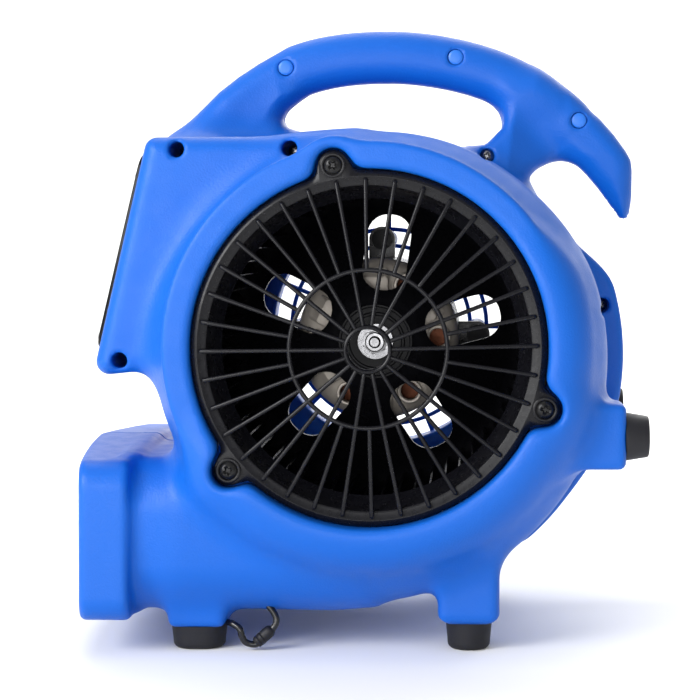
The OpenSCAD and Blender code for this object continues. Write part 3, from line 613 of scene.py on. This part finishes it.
# ---------------- finishes
def finish_material(name, colour, rough, bump=0.0, grain=900.0, spread=0.05, metallic=0.0, coat=0.0,
                    drift=0.04, stripes=0.0, specular=0.5):
    """A procedural finish: two scales of colour drift, uneven roughness and a fine moulded grain."""
    material = bpy.data.materials.new(name)
    material.use_nodes = True
    nodes, links = material.node_tree.nodes, material.node_tree.links
    shader = nodes["Principled BSDF"]

    def feed(node, settings):
        """Sets a node's inputs, or links them where the value is another node's output."""
        for key, value in settings.items():
            if isinstance(value, bpy.types.NodeSocket):
                links.new(value, node.inputs[key])
            else:
                node.inputs[key].default_value = value
        return node

    def new(kind, settings):
        return feed(nodes.new("ShaderNode" + kind), settings)

    def noise(scale, detail):
        return new("TexNoise", {"Scale": scale, "Detail": detail, "Vector": place}).outputs["Fac"]

    place = nodes.new("ShaderNodeTexCoord").outputs["Object"]
    broad, fine = noise(14, 3), noise(grain, 2)
    shades = nodes.new("ShaderNodeValToRGB")
    dark, light = shades.color_ramp.elements
    dark.position, light.position = 0.3, 0.7
    dark.color = (*(max(c * (1 - drift), 0) for c in colour), 1)
    light.color = (*(min(c * (1 + drift) + drift * 0.01, 1) for c in colour), 1)
    mix = new("Math", {0: fine, 1: 0.35})
    mix.operation = "MULTIPLY_ADD"
    most = new("Math", {0: broad, 1: 0.65})
    most.operation = "MULTIPLY"
    feed(mix, {2: most.outputs[0]})
    feed(shades, {"Fac": mix.outputs[0]})
    uneven = new("MapRange", {"Value": noise(grain * 0.12, 3), "From Min": 0.3, "From Max": 0.7,
                              "To Min": rough - spread, "To Max": rough + spread})
    feed(shader, {"Metallic": metallic, "Coat Weight": coat, "Coat Roughness": 0.12,
                  "Specular IOR Level": specular, "Base Color": shades.outputs["Color"],
                  "Roughness": uneven.outputs["Result"]})
    if bump or stripes:
        height = fine
        if stripes:
            wave = new("TexWave", {"Scale": stripes, "Distortion": 0.6, "Vector": place})
            wave.bands_direction = "Y"
            height = wave.outputs["Fac"]
        relief = new("Bump", {"Strength": 1.0, "Distance": bump * MM, "Height": height})
        feed(shader, {"Normal": relief.outputs["Normal"]})
    return material


# Each look: colour, roughness, bump in mm, grain scale, spread of the roughness, and the rest by name.
FINISHES = {
    "blue_shell": ((0.003, 0.102, 0.50), 0.43, 0.15, 1000, 0.05, dict(drift=0.03, specular=0.28)),
    "plug_blue": ((0.012, 0.155, 0.64), 0.38, 0.03, 1700, 0.05, dict(drift=0.05)),
    "black_plastic": ((0.004, 0.004, 0.006), 0.29, 0.006, 2400, 0.06, dict(drift=0.15, specular=0.24)),
    "knob_plastic": ((0.007, 0.007, 0.008), 0.34, 0.025, 1800, 0.05, dict(drift=0.15)),
    "black_steel": ((0.012, 0.012, 0.013), 0.28, 0.02, 1200, 0.08, dict(metallic=0.6, drift=0.2)),
    "zinc_steel": ((0.24, 0.24, 0.25), 0.24, 0.012, 2200, 0.09, dict(metallic=1.0, drift=0.08)),
    "steel_core": ((0.33, 0.33, 0.34), 0.42, 0.12, 900, 0.08, dict(metallic=1.0, drift=0.1, stripes=380)),
    "aluminium_cast": ((0.50, 0.455, 0.405), 0.55, 0.10, 1100, 0.08, dict(metallic=0.45, drift=0.09)),
    "copper_wire": ((0.05, 0.018, 0.010), 0.33, 0.35, 800, 0.06,
                    dict(metallic=1.0, drift=0.2, stripes=210)),
    "rubber_black": ((0.006, 0.006, 0.009), 0.55, 0.03, 1300, 0.08, dict(drift=0.2, specular=0.35)),
    "tether_rubber": ((0.005, 0.005, 0.006), 0.24, 0.02, 2000, 0.08, dict(drift=0.2)),
    "panel_gloss": ((0.004, 0.004, 0.005), 0.17, 0.004, 900, 0.05, dict(drift=0.2, specular=0.16)),
    "button_red": ((0.42, 0.012, 0.010), 0.28, 0.01, 1800, 0.05, dict(coat=0.2, drift=0.08)),
    "capacitor_case": ((0.72, 0.72, 0.69), 0.30, 0.01, 1500, 0.05, dict(drift=0.05)),
    "dial_marking": ((0.78, 0.78, 0.78), 0.45, 0.01, 1500, 0.05, dict(drift=0.05)),
    # The wheel's finish is a copy of black_plastic made darker and less glossy, as painted shade for the
    # wheel deep inside the scroll.
    "wheel_plastic_shaded": ((0.0025, 0.0025, 0.0035), 0.30, 0.006, 2400, 0.06, dict(drift=0.15, specular=0.10)),
    "floor_paper": ((0.97, 0.97, 0.96), 0.85, 0.0, 60, 0.03, dict(drift=0.006, specular=0.1)),
}
LOOKS = {name: finish_material(name, *values, **rest) for name, (*values, rest) in FINISHES.items()}


def settle(piece, look, body, *nodes, slot=None):
    """Gives a piece its look, the body it rides on and the CAD nodes it stands for. The slot argument is
    not used.
    """
    piece.data.materials.clear()
    piece.data.materials.append(LOOKS[look])
    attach(piece, body)
    if nodes:
        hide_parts(*nodes)
    return piece


settle(near_half, "blue_shell", "blower", "intake_side_housing")
settle(far_half, "blue_shell", "blower", "motor_side_housing")


def boolean_cut(piece, cutter):
    """Cuts one piece with another and deletes the cutter."""
    change = piece.modifiers.new("cut", "BOOLEAN")
    change.operation = "DIFFERENCE"
    change.solver = "EXACT"
    change.object = cutter
    graph = bpy.context.evaluated_depsgraph_get()
    result = bpy.data.meshes.new_from_object(piece.evaluated_get(graph))
    piece.modifiers.clear()
    old, piece.data = piece.data, result
    piece.data.name = piece.name
    bpy.data.meshes.remove(old)
    bpy.data.objects.remove(cutter)
    work = bmesh.new()
    work.from_mesh(piece.data)
    bmesh.ops.dissolve_degenerate(work, edges=work.edges, dist=1e-6)
    work.to_mesh(piece.data)
    work.free()
    piece.data.shade_smooth()
    piece.data.set_sharp_from_angle(angle=math.radians(32))
    return piece


# ---------------- tether loop
def smooth_route(points, steps):
    """A smooth line through given points."""
    line = []
    for k in range(len(points) - 1):
        a, b = Vector(points[max(k - 1, 0)]), Vector(points[k])
        c, d = Vector(points[k + 1]), Vector(points[min(k + 2, len(points) - 1)])
        for i in range(steps):
            t = i / steps
            line.append(0.5 * (2 * b + (c - a) * t + (2 * a - 5 * b + 4 * c - d) * t * t
                               + (3 * b - a - 3 * c + d) * t ** 3))
    line.append(Vector(points[-1]))
    return line


TETHER_RADIUS = 1.65
TETHER_ROUTE = [(-64.5, -76, 13.2), (-61.2, -79.5, 12.9), (-57.4, -81.5, 10.8), (-56.3, -81.6, 7.2),
                (-54.6, -81.3, 4.3), (-51.5, -81, 3.1), (-48.6, -81, 3.4), (-45.0, -81, 6.6),
                (-41.9, -81, 10.1), (-39.9, -81, 12.7), (-39.4, -80.6, 15.8), (-40.8, -79.8, 18.6),
                (-43, -79, 21.2)]
tether_line = smooth_route(TETHER_ROUTE, 5)
tether = Build().add(tube(tether_line, TETHER_RADIUS, 14)).done("tether_loop", 60)
settle(tether, "tether_rubber", "blower", "tether_cord")

LOCK_FROM, LOCK_TO = Vector((-49.4, -81, 3.7)), Vector((-41.1, -81, 11.0))
lock_axis = LOCK_TO - LOCK_FROM
lock_length = lock_axis.length
lock = Build()
lock.add(lathe([(1.2, 0.5), (1.7, 0.1), (2.5, 0.15), (2.9, 0.7), (3.05, 2.2), (2.75, 2.5), (3.05, 2.9),
                (3.05, 4.4), (2.75, 4.75), (3.05, 5.1), (3.05, lock_length - 3.0), (2.9, lock_length - 1.6),
                (2.2, lock_length - 0.5), (1.6, lock_length - 0.1), (1.2, lock_length - 0.6)], 32),
         toward(LOCK_FROM, lock_axis, (0, 1, 0)))
lock = settle(lock.done("tether_barrel", 40), "rubber_black", "blower", "tether_lock")


# ---------------- stage
def sweep():
    """A pale floor that turns up into a backdrop."""
    half, start, bend, top = 9.0, 2.0, 0.9, 3.2
    profile = [(-half, 0.0), (start, 0.0)]
    for degrees in range(10, 91, 10):
        a = math.radians(degrees)
        profile.append((start + bend * math.sin(a), bend - bend * math.cos(a)))
    profile.append((start + bend, top))
    points = [(x, y, z) for x in (-half, half) for y, z in profile]
    n = len(profile)
    ob = mesh_object("floor_sweep", points, [(i, i + 1, n + i + 1, n + i) for i in range(n - 1)])
    ob.data.materials.append(LOOKS["floor_paper"])


sweep()


# ---------------- plugs and screws
plugs = Build()
for px, pz in PLUGS:
    plugs.add(lathe([(0, 13.35), (2.2, 13.3), (3.3, 13.15), (3.8, 12.8), (3.92, 12.2), (3.92, 9.8),
                     (0, 9.8)], 40), toward((px, 0, pz), (0, -1, 0)))
settle(plugs.done("handle_plug_caps"), "plug_blue", "blower", "handle_plugs")

shell_screws = Build()
for k, (sx, sz, face, sunk) in enumerate(SCREWS):
    shell_screws.add(pan_head(3.45, 2.1, 0.35 + 0.5 * k, shank=6),
                     toward((sx, sunk - face, sz), (0, -1, 0)))
settle(shell_screws.done("shell_screws"), "zinc_steel", "blower", "housing_screws")


# ---------------- intake grille
def grille_edge(steps):
    """Outer radius of the grille rim with its three ears, for each direction."""
    a = np.arange(steps) * 2 * math.pi / steps
    inner, outer = np.full(steps, 80.0), np.full(steps, 100.0)
    for _ in range(30):
        middle = (inner + outer) / 2
        x, z = middle * np.cos(a), middle * np.sin(a)
        field = middle - RIM_R
        for angle in EAR_ANGLES:
            turn = math.radians(angle)
            ear = np.hypot(x - EAR_PATH * math.cos(turn), z - EAR_PATH * math.sin(turn)) - EAR_R
            field = soft_min(field, ear, 7)
        outer = np.where(field > 0, middle, outer)
        inner = np.where(field > 0, inner, middle)
    return a, inner


RIM_STEPS = 288
rim_angles, rim_reach = grille_edge(RIM_STEPS)
# The rim's section: (height, inset from the eared edge), then (height, radius) over the lip, down
# the throat and back up.
RIM_EDGE = ((103.0, 0.6), (103.4, 0.0), (105.2, 0.0), (106.2, 0.4), (106.9, 1.2))
RIM_THROAT = ((108.2, 82.2), (108.2, 81.9), (107.75, 81.3), (107.7, 78.6), (107.3, 77.7), (106.2, 77.2),
              (102.5, 76.2), (98.5, 74.6), (95.0, 72.6), (93.7, 71.7), (93.3, 72.2), (93.8, 73.2),
              (97.5, 75.8), (102.0, 77.6), (104.6, 79.4))
SPOKES, SPOKE_END, RING_MIDDLE, EYE_R = 36, 79.8, 37.5, 10.6


def rim_loop(height, radii):
    return [(float(r * math.cos(a)), float(r * math.sin(a)), height) for r, a in zip(radii, rim_angles)]


def spoke_height(r):
    return 108.5 + 8.0 * (1 - (r / 79.6) ** 1.3)


def round_section(radius, height, thick, steps):
    """The round section of a wire ring, for lathe."""
    return [(radius + thick * math.cos(a), height + thick * math.sin(a))
            for a in (2 * math.pi * i / steps for i in range(steps))]


grille = Build()
grille.add(loft([rim_loop(h, rim_reach - inset) for h, inset in RIM_EDGE]
                + [rim_loop(h, np.full(RIM_STEPS, radius)) for h, radius in RIM_THROAT], closed=True), AXIS)
for angle in EAR_ANGLES:
    grille.add(lathe([(4.5, 108.0), (4.5, 108.75), (4.8, 109.0), (5.6, 109.0), (6.0, 108.7),
                      (6.1, 108.0)], 40), aside(AXIS, EAR_PATH, angle))
for k in range(SPOKES):
    turn = math.radians(1 + 360 / SPOKES * k)
    last = EYE_R if k % 2 == 0 else RING_MIDDLE
    radii = [SPOKE_END + (last - SPOKE_END) * t / 9 for t in range(10)]
    grille.add(tube([(r * math.cos(turn), r * math.sin(turn), spoke_height(r)) for r in radii],
                    [1.15] * 2 + [1.05] * 8, 10), AXIS)
grille.add(lathe(round_section(RING_MIDDLE, spoke_height(RING_MIDDLE), 1.12, 12), 120), AXIS)
grille.add(lathe([(9.6, 110.5), (9.6, 117.2), (9.9, 117.8), (10.5, 118.05), (11.2, 117.8), (11.55, 117.1),
                  (11.6, 112.0), (11.2, 110.5)], 72), AXIS)
settle(grille.done("intake_guard", 40), "black_plastic", "blower", "intake_grille")

ear_screws = Build()
for angle, slot_turn in zip(EAR_ANGLES, (0.9, 0.25, 1.1)):
    ear_screws.add(pan_head(4.25, 2.3, slot_turn, shank=8), aside(AXIS, EAR_PATH, angle, 108.1))
settle(ear_screws.done("guard_screws"), "black_steel", "blower", "grille_screws")


# ---------------- rear grid
rear = Build()
REAR_WIRE_AT = 111.7
for radius in (38.0, 47.6, 57.2):
    rear.add(lathe(round_section(radius, REAR_WIRE_AT, 1.25, 10), 120), BACKWARD)
for k in range(16):
    turn = math.radians(22.5 * k)
    spoke = [(r * math.cos(turn), r * math.sin(turn), REAR_WIRE_AT) for r in (28, 40, 54, 68)]
    rear.add(tube(spoke, 1.3, 10), BACKWARD)
rear.add(lathe([(0, 109.5), (28.5, 109.5), (29.6, 110.2), (30, 111.2), (30, 113.4), (29.2, 114.5),
                (27.6, 114.9), (22.5, 114.9), (21.8, 114.4), (0, 114.4)], 96), BACKWARD)
for k in range(4):
    rear.add(lathe([(0, 30), (4.6, 30), (5, 30.4), (5, 111.5), (0, 111.5)], 28),
             aside(BACKWARD, 51.5, 90 * k))
settle(rear.done("rear_grid", 40), "blue_shell", "blower", "motor_side_housing")


# ---------------- wheel
BLADES, WINDOWS = 56, 5
wheel = Build()
wheel.add(lathe([(4.1, 44.6), (6.5, 45.0), (13.0, 45.0), (13.6, 45.5), (14.4, 45.5), (15.0, 44.9),
                 (17.2, 44.9), (17.8, 45.4), (18.6, 45.4), (19.2, 44.8), (22.0, 44.0), (34.0, 34.6),
                 (46.0, 24.6), (58.0, 14.6), (68.0, 6.4), (71.0, 4.6), (75.0, 4.0), (87.0, 4.0),
                 (87.0, 1.7), (75.0, 1.7), (70.0, 2.2), (66.0, 4.6), (56.0, 13.0), (44.0, 23.0),
                 (32.0, 33.0), (21.0, 41.2), (4.1, 41.6)], 180), AXIS)
wheel = wheel.done("fan_wheel_plate", 30)
slots = Build()
for k in range(WINDOWS):
    loops = [rounded_rect(39, 23, 10.5, h, 8, at=(45.5, 0)) for h in (-5, 60)]
    slots.add(loft(loops), turned(AXIS, 12 + 360 / WINDOWS * k))
boolean_cut(wheel, slots.done("slot_cutter"))


def vane_outline(steps=7):
    """A forward-curved blade: a thin arc from radius 72.5 to 86.6."""
    line = []
    for i in range(steps):
        t = i / (steps - 1)
        r = 72.5 + 14.1 * t
        turn = math.radians(-7.5 * t * t - 1.0 * t + 4)
        line.append((r * math.cos(turn), r * math.sin(turn)))
    left, right = [], []
    for i, (x, y) in enumerate(line):
        ax, ay = line[max(i - 1, 0)]
        bx, by = line[min(i + 1, steps - 1)]
        size = math.hypot(bx - ax, by - ay)
        nx, ny = -(by - ay) / size, (bx - ax) / size
        thick = 0.62 - 0.12 * abs(2 * i / (steps - 1) - 1)
        left.append((x + nx * thick, y + ny * thick))
        right.append((x - nx * thick, y - ny * thick))
    return left + right[::-1]


vanes = Build()
vane = loft([[(x, y, h) for x, y in vane_outline()] for h in (3.2, 30, 60, 89.2)])
for k in range(BLADES):
    vanes.add(vane, turned(AXIS, 360 * k / BLADES))
vanes.add(lathe([(84.4, 87.2), (84.4, 90.6), (84.9, 91.0), (86.6, 91.0), (87.0, 90.6), (87.0, 87.2)], 180),
          AXIS)
vanes = vanes.done("fan_wheel_vanes", 30)
# The wheel takes the darker copy of the black plastic: painted shade for its place inside the scroll.
for piece in (wheel, vanes):
    settle(piece, "wheel_plastic_shaded", "fan_rotor", "impeller_wheel", "impeller_hub", slot="black_plastic")

washer = Build().add(lathe([(3.2, 45.05), (8.9, 45.05), (9.2, 45.3), (9.2, 46.3), (8.9, 46.6),
                            (3.2, 46.6)], 64), AXIS).done("wheel_washer")
settle(washer, "zinc_steel", "fan_rotor", "hub_washer")


def hex_nut():
    """A six-sided nut with chamfered corners and a round locking collar."""
    steps, loops = 72, []

    def hexagon(corner, cap):
        loop = []
        for i in range(steps):
            a = 2 * math.pi * i / steps
            fold = (a % (math.pi / 3)) - math.pi / 6
            r = min(corner * math.cos(math.pi / 6) / math.cos(fold), cap)
            loop.append((r * math.cos(a), r * math.sin(a)))
        return loop

    for height, cap in ((46.6, 6.0), (46.9, 6.4), (50.3, 6.4), (50.9, 5.9), (51.0, 5.0), (52.3, 4.9),
                        (52.7, 4.4), (52.7, 3.1), (50.5, 3.05), (46.6, 3.05)):
        loops.append([(x, y, height) for x, y in hexagon(6.4, cap)])
    return loft(loops, closed=True)


nut = Build().add(hex_nut(), AXIS @ Matrix.Rotation(0.35, 4, "Z")).done("wheel_nut", 25)
settle(nut, "zinc_steel", "fan_rotor", "hub_nut")
thread = [(0, 55.0), (2.2, 55.0), (2.55, 54.7)]
for k in range(9):
    thread += [(2.95, 54.3 - k), (2.55, 53.8 - k)]
thread += [(3.0, 45.0), (3.9, 44.8), (3.95, 44.4), (3.95, -65.5), (3.5, -66), (0, -66)]
shaft = Build().add(lathe(thread, 48), AXIS).done("fan_shaft", 30)
settle(shaft, "zinc_steel", "fan_rotor", "motor_shaft")


# ---------------- motor end bell
bell = Build().add(lathe([(9.0, 36.6), (11.4, 36.9), (12.2, 36.2), (13.6, 30.6), (15.0, 29.6), (33.0, 26.4),
                          (38.5, 23.6), (41.2, 19.4), (41.9, 17.0), (41.9, 14.0), (40.0, 14.0),
                          (38.8, 17.0), (32.5, 23.2), (13.0, 24.2), (9.0, 24.2)], 144),
                   AXIS).done("motor_end_bell", 30)
BELL_HOLES_AT, BELL_HOLE_R = 31.5, 4.6
holes = Build()
for k in range(6):
    holes.add(rod(BELL_HOLE_R, 10, 40, 36), aside(AXIS, BELL_HOLES_AT, 2 + 60 * k))
boolean_cut(bell, holes.done("window_cutter"))
settle(bell, "aluminium_cast", "blower", "motor_front_bell")
# Each section of a rib: height, distance from the axis, length and width.
RIB_SECTIONS = ((24.5, 29.1, 16.2, 14), (26.8, 29.1, 16.2, 14), (29.8, 27.0, 12.0, 14),
                (30.7, 26.9, 11.3, 13.5), (31.1, 26.8, 10.0, 12.2))
bell_trim = Build()
for k in range(6):
    bell_trim.add(lathe([(BELL_HOLE_R, 24.5), (BELL_HOLE_R, 27.5), (5.0, 28.0), (5.9, 27.9), (6.5, 27.2),
                         (6.8, 24.5)], 36), aside(AXIS, BELL_HOLES_AT, 2 + 60 * k))
    bell_trim.add(loft([rounded_rect(length, width, 2.2, h, at=(middle, 0))
                        for h, middle, length, width in RIB_SECTIONS]), turned(AXIS, 32 + 60 * k))
settle(bell_trim.done("motor_bell_ribs", 35), "aluminium_cast", "blower", "motor_front_bell")


# ---------------- control panel
def on_panel(x=0.0, y=0.0, z=0.0):
    """Local X up the face, Y across it and Z out of it."""
    up, out = (PANEL_UP[0], 0, PANEL_UP[1]), (-PANEL_UP[1], 0, PANEL_UP[0])
    place = Matrix((up, (0, 1, 0), out)).transposed().to_4x4()
    place.translation = Vector((PANEL_MID[0], 0, PANEL_MID[1]))
    return place @ Matrix.Translation((x, y, z))


panel = Build().add(soft_plate(99, 144, 8, 0.7, 3.6, 1.4, sink=0.7, rim=3.2),
                    on_panel(PANEL_LIFT)).done("panel_plate", 35)
cut = Build()
cut.add(rod(4.6, -2, 8, 40), on_panel(*KNOB_AT))
cut.add(rod(6.15, -2, 8, 40), on_panel(*BREAKER_AT))
for spot in RECEPTACLES_AT:
    cut.add(loft([rounded_rect(27.2, 35.2, 6.1, h) for h in (-2, 8)]), on_panel(*spot))
boolean_cut(panel, cut.done("panel_cutter"))
settle(panel, "panel_gloss", "blower", "control_panel")

marks = Build()
for k in range(9):
    turn = math.radians(15 * k)
    long_mark = k in (0, 4, 8)
    marks.add(soft_plate(4.2 if long_mark else 2.6, 0.9, 0.4, 2.7, 3.15, 0.15),
              on_panel(*KNOB_AT) @ Matrix.Rotation(turn, 4, "Z") @ Matrix.Translation((20.4, 0, 0)))
settle(marks.done("dial_marks", 40), "dial_marking", "blower", slot="capacitor_case")

panel_heads = Build()
for i in (-1, 1):
    for j in (-1, 1):
        panel_heads.add(pan_head(2.9, 1.5, turn=0.4 * i + 0.7 * j, shank=3), on_panel(41 * i, 66 * j, 3.0))
settle(panel_heads.done("panel_screw_heads"), "zinc_steel", "blower", "panel_screws")


def fluted(radius, depth, height, grooves=20, steps=160):
    """A round loop at a height, with grooves of a depth."""
    loop = []
    for i in range(steps):
        a = 2 * math.pi * i / steps
        r = radius - depth * max(math.cos(grooves * a), 0) ** 2
        loop.append((r * math.cos(a), r * math.sin(a), height))
    return loop


knob = Build()
knob.add(lathe([(3.1, 3.9), (15.7, 3.9), (16.0, 4.3), (16.0, 6.6), (15.5, 7.6), (14.2, 8.0),
                (3.1, 8.0)], 96), on_panel(*KNOB_AT))
knob.add(loft([fluted(*section) for section in ((13.9, 0.7, 7.9), (13.6, 0.7, 9), (12.9, 0.7, 16.6),
                                                (12.4, 0.5, 17.8), (11.4, 0.2, 18.6), (9.8, 0, 18.85))]),
         on_panel(*KNOB_AT))
knob.add(soft_plate(24, 5.4, 2.2, 17.5, 20.3, 0.9), on_panel(*KNOB_AT))
settle(knob.done("speed_dial", 35), "knob_plastic", "knob", "speed_knob")
pointer = Build().add(soft_plate(7.5, 1.3, 0.5, 20.1, 20.45, 0.12),
                      on_panel(*KNOB_AT) @ Matrix.Translation((7.6, 0, 0))).done("dial_pointer")
settle(pointer, "dial_marking", "knob", slot="capacitor_case")

outlets = Build()
for spot in RECEPTACLES_AT:
    outlets.add(soft_plate(27, 35, 6, -18, 4.4, 1.0), on_panel(*spot))
outlets = outlets.done("outlet_faces", 35)
pin_holes = Build()
for spot in RECEPTACLES_AT:
    for t in (-1, 1):
        pin_holes.add(loft([rounded_rect(8 if t < 0 else 6.6, 2, 0.4, h, 2, at=(7, 6.3 * t))
                            for h in (-9, 9)]), on_panel(*spot))
    pin_holes.add(loft([rounded_rect(5.0, 5.2, 2.4, h, at=(-6, 0)) for h in (-9, 9)]), on_panel(*spot))
boolean_cut(outlets, pin_holes.done("pin_cutter"))
settle(outlets, "black_plastic", "blower", "receptacles")

breaker = Build().add(lathe([(4.12, -4), (4.12, 4.9), (4.5, 5.4), (5.6, 5.5), (6.08, 5.1), (6.1, 0.2),
                             (7.5, 0), (7.5, -20), (4.12, -20)], 56),
                      on_panel(*BREAKER_AT)).done("breaker_collar")
settle(breaker, "knob_plastic", "blower", "breaker_body")
button = Build().add(lathe([(0, 9.0), (2.2, 8.9), (3.3, 8.5), (3.9, 7.8), (4.02, 7.0), (4.02, -0.4),
                            (0, -0.4)], 48), on_panel(*BREAKER_AT)).done("breaker_button")
settle(button, "button_red", "button", "reset_button")


# ---------------- outlet grille
guard = Build()
GUARD_X, GUARD_LOW, GUARD_HIGH, GUARD_HALF = -120.5, 23.4, 91.2, 87.6


def bar(x0, x1, y0, y1, z0, z1, r, along):
    """A bar with rounded long edges between two corners."""
    size = {"y": (x1 - x0, z1 - z0, y1 - y0), "z": (x1 - x0, y1 - y0, z1 - z0)}[along]
    loops = []
    for h in (0, size[2]):
        loop = []
        for a, b, _ in rounded_rect(size[0], size[1], r, steps=4):
            mid_x, mid_y, mid_z = (x0 + x1) / 2, (y0 + y1) / 2, (z0 + z1) / 2
            loop.append((mid_x + a, y0 + h, mid_z + b) if along == "y" else (mid_x + a, mid_y + b, z0 + h))
        loops.append(loop)
    return loft(loops)


for k in range(-6, 8):
    mid = (k - 0.5) * 13.2
    guard.add(bar(GUARD_X - 2, GUARD_X + 4, mid - 1.2, mid + 1.2, GUARD_LOW + 2, GUARD_HIGH - 2, 1.0, "z"))
mid = (GUARD_LOW + GUARD_HIGH) / 2
guard.add(bar(GUARD_X - 1.8, GUARD_X + 3, -GUARD_HALF, GUARD_HALF, mid - 1.4, mid + 1.4, 1.1, "y"))
for z0, z1 in ((GUARD_LOW, GUARD_LOW + 4), (GUARD_HIGH - 4, GUARD_HIGH)):
    guard.add(bar(GUARD_X - 2, GUARD_X + 2, -GUARD_HALF, GUARD_HALF, z0, z1, 1.2, "y"))
for y0, y1 in ((-GUARD_HALF, -GUARD_HALF + 4), (GUARD_HALF - 4, GUARD_HALF)):
    guard.add(bar(GUARD_X - 2, GUARD_X + 2, y0, y1, GUARD_LOW, GUARD_HIGH, 1.2, "z"))
settle(guard.done("outlet_guard", 40), "black_plastic", "blower", "outlet_grille")


# ---------------- feet
def stadium(radius, stretch, height, steps=48):
    """Two half circles, each moved out along X by the stretch, as a loop at a height."""
    loop = []
    for i in range(steps):
        a = 2 * math.pi * (i + 0.5) / steps
        loop.append((radius * math.cos(a) + math.copysign(stretch, math.cos(a)), radius * math.sin(a),
                     height))
    return loop


def foot(height, stretch, top):
    """A rubber foot: its outside from the top down, the rounded sole and the screw's counterbore."""
    loops = [stadium(2.4, 0, height), stadium(top, stretch, height),
             stadium(top - 0.1, stretch, height - 0.8), stadium(top - 0.9, stretch, 4.6)]
    for k in range(5):
        turn = math.pi / 2 * k / 4
        loops.append(stadium(top - 1.0 - 2.9 * (1 - math.cos(turn)), stretch, 3.0 - 3.0 * math.sin(turn)))
    loops += [stadium(4.5, 0, 0.0), stadium(4.2, 0, 0.3), stadium(4.2, 0, 6.0), stadium(2.4, 0, 6.0)]
    return loft(loops, closed=True)


floor_set, screw_set = Build(), Build()
for side in (-1, 1):
    for x, height, stretch, top in ((FRONT_FOOT_X, 11.6, 2.7, 11.2), (REAR_FOOT_X, 13.6, 0.2, 11.3)):
        floor_set.add(foot(height, stretch, top), Matrix.Translation((x, side * FLOOR_FOOT_Y, 0)))
        screw_set.add(pan_head(3.7, 2.2, turn=0.5 * side, shank=8),
                      toward((x, side * FLOOR_FOOT_Y, 6.0), (0, 0, -1), (1, 0, 0)))
    screw_set.add(pan_head(3.7, 2.2, turn=0.8 * side, shank=8),
                  toward((BACK_TIP_X - 5.6, side * BACK_FOOT_Y, BACK_FOOT_Z), (1, 0, 0)))
settle(floor_set.done("floor_foot_pads", 40), "rubber_black", "blower", "floor_feet")
settle(screw_set.done("foot_screw_heads"), "zinc_steel", "blower", "foot_screws")

back_set = Build()
for side in (-1, 1):
    back_set.add(lathe([(2.4, -0.2), (11.4, -0.2), (11.7, 0.2), (11.65, 1.0), (10.15, 10.2), (9.8, 11.1),
                        (9.1, 11.4), (4.6, 11.4), (4.2, 11.1), (4.2, 5.6), (2.4, 5.6)], 64),
                 toward((131.0, side * BACK_FOOT_Y, BACK_FOOT_Z), (1, 0, 0)))
settle(back_set.done("back_foot_pads", 40), "rubber_black", "blower", "back_feet")

gland_profile = [(3.6, -6), (5.9, -6), (5.9, -1), (7.7, -1), (8.0, -0.7), (8.0, 1.6), (7.6, 2.0)]
for k in range(4):
    rise, taper = 2.1 * k, 0.35 * k
    gland_profile += [(5.9 - taper, 2.4 + rise), (5.75 - taper, 3.6 + rise), (4.9 - 0.3 * k, 3.9 + rise)]
gland = Build().add(lathe(gland_profile + [(4.5, 10.9), (3.6, 10.9)], 56),
                    toward((117.5, 48, 128), (1, 0, 0))).done("cord_gland_sleeve", 35)
settle(gland, "rubber_black", "blower", "cord_gland")


# ---------------- nodes shown as they are
SHOWN = {
    "motor_rotor": "steel_core", "stator_core": "steel_core", "motor_winding": "copper_wire",
    "motor_shell": "black_steel", "motor_rear_bell": "aluminium_cast", "motor_bearings": "zinc_steel",
    "motor_mounts": "black_steel", "mount_bushings": "rubber_black", "rotary_switch": "knob_plastic",
    "capacitor": "capacitor_case",
}
for name, look in SHOWN.items():
    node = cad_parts[name]
    if not node.material_slots:
        node.data.materials.append(LOOKS[look])
    for material_slot in node.material_slots:
        material_slot.material = LOOKS[look]
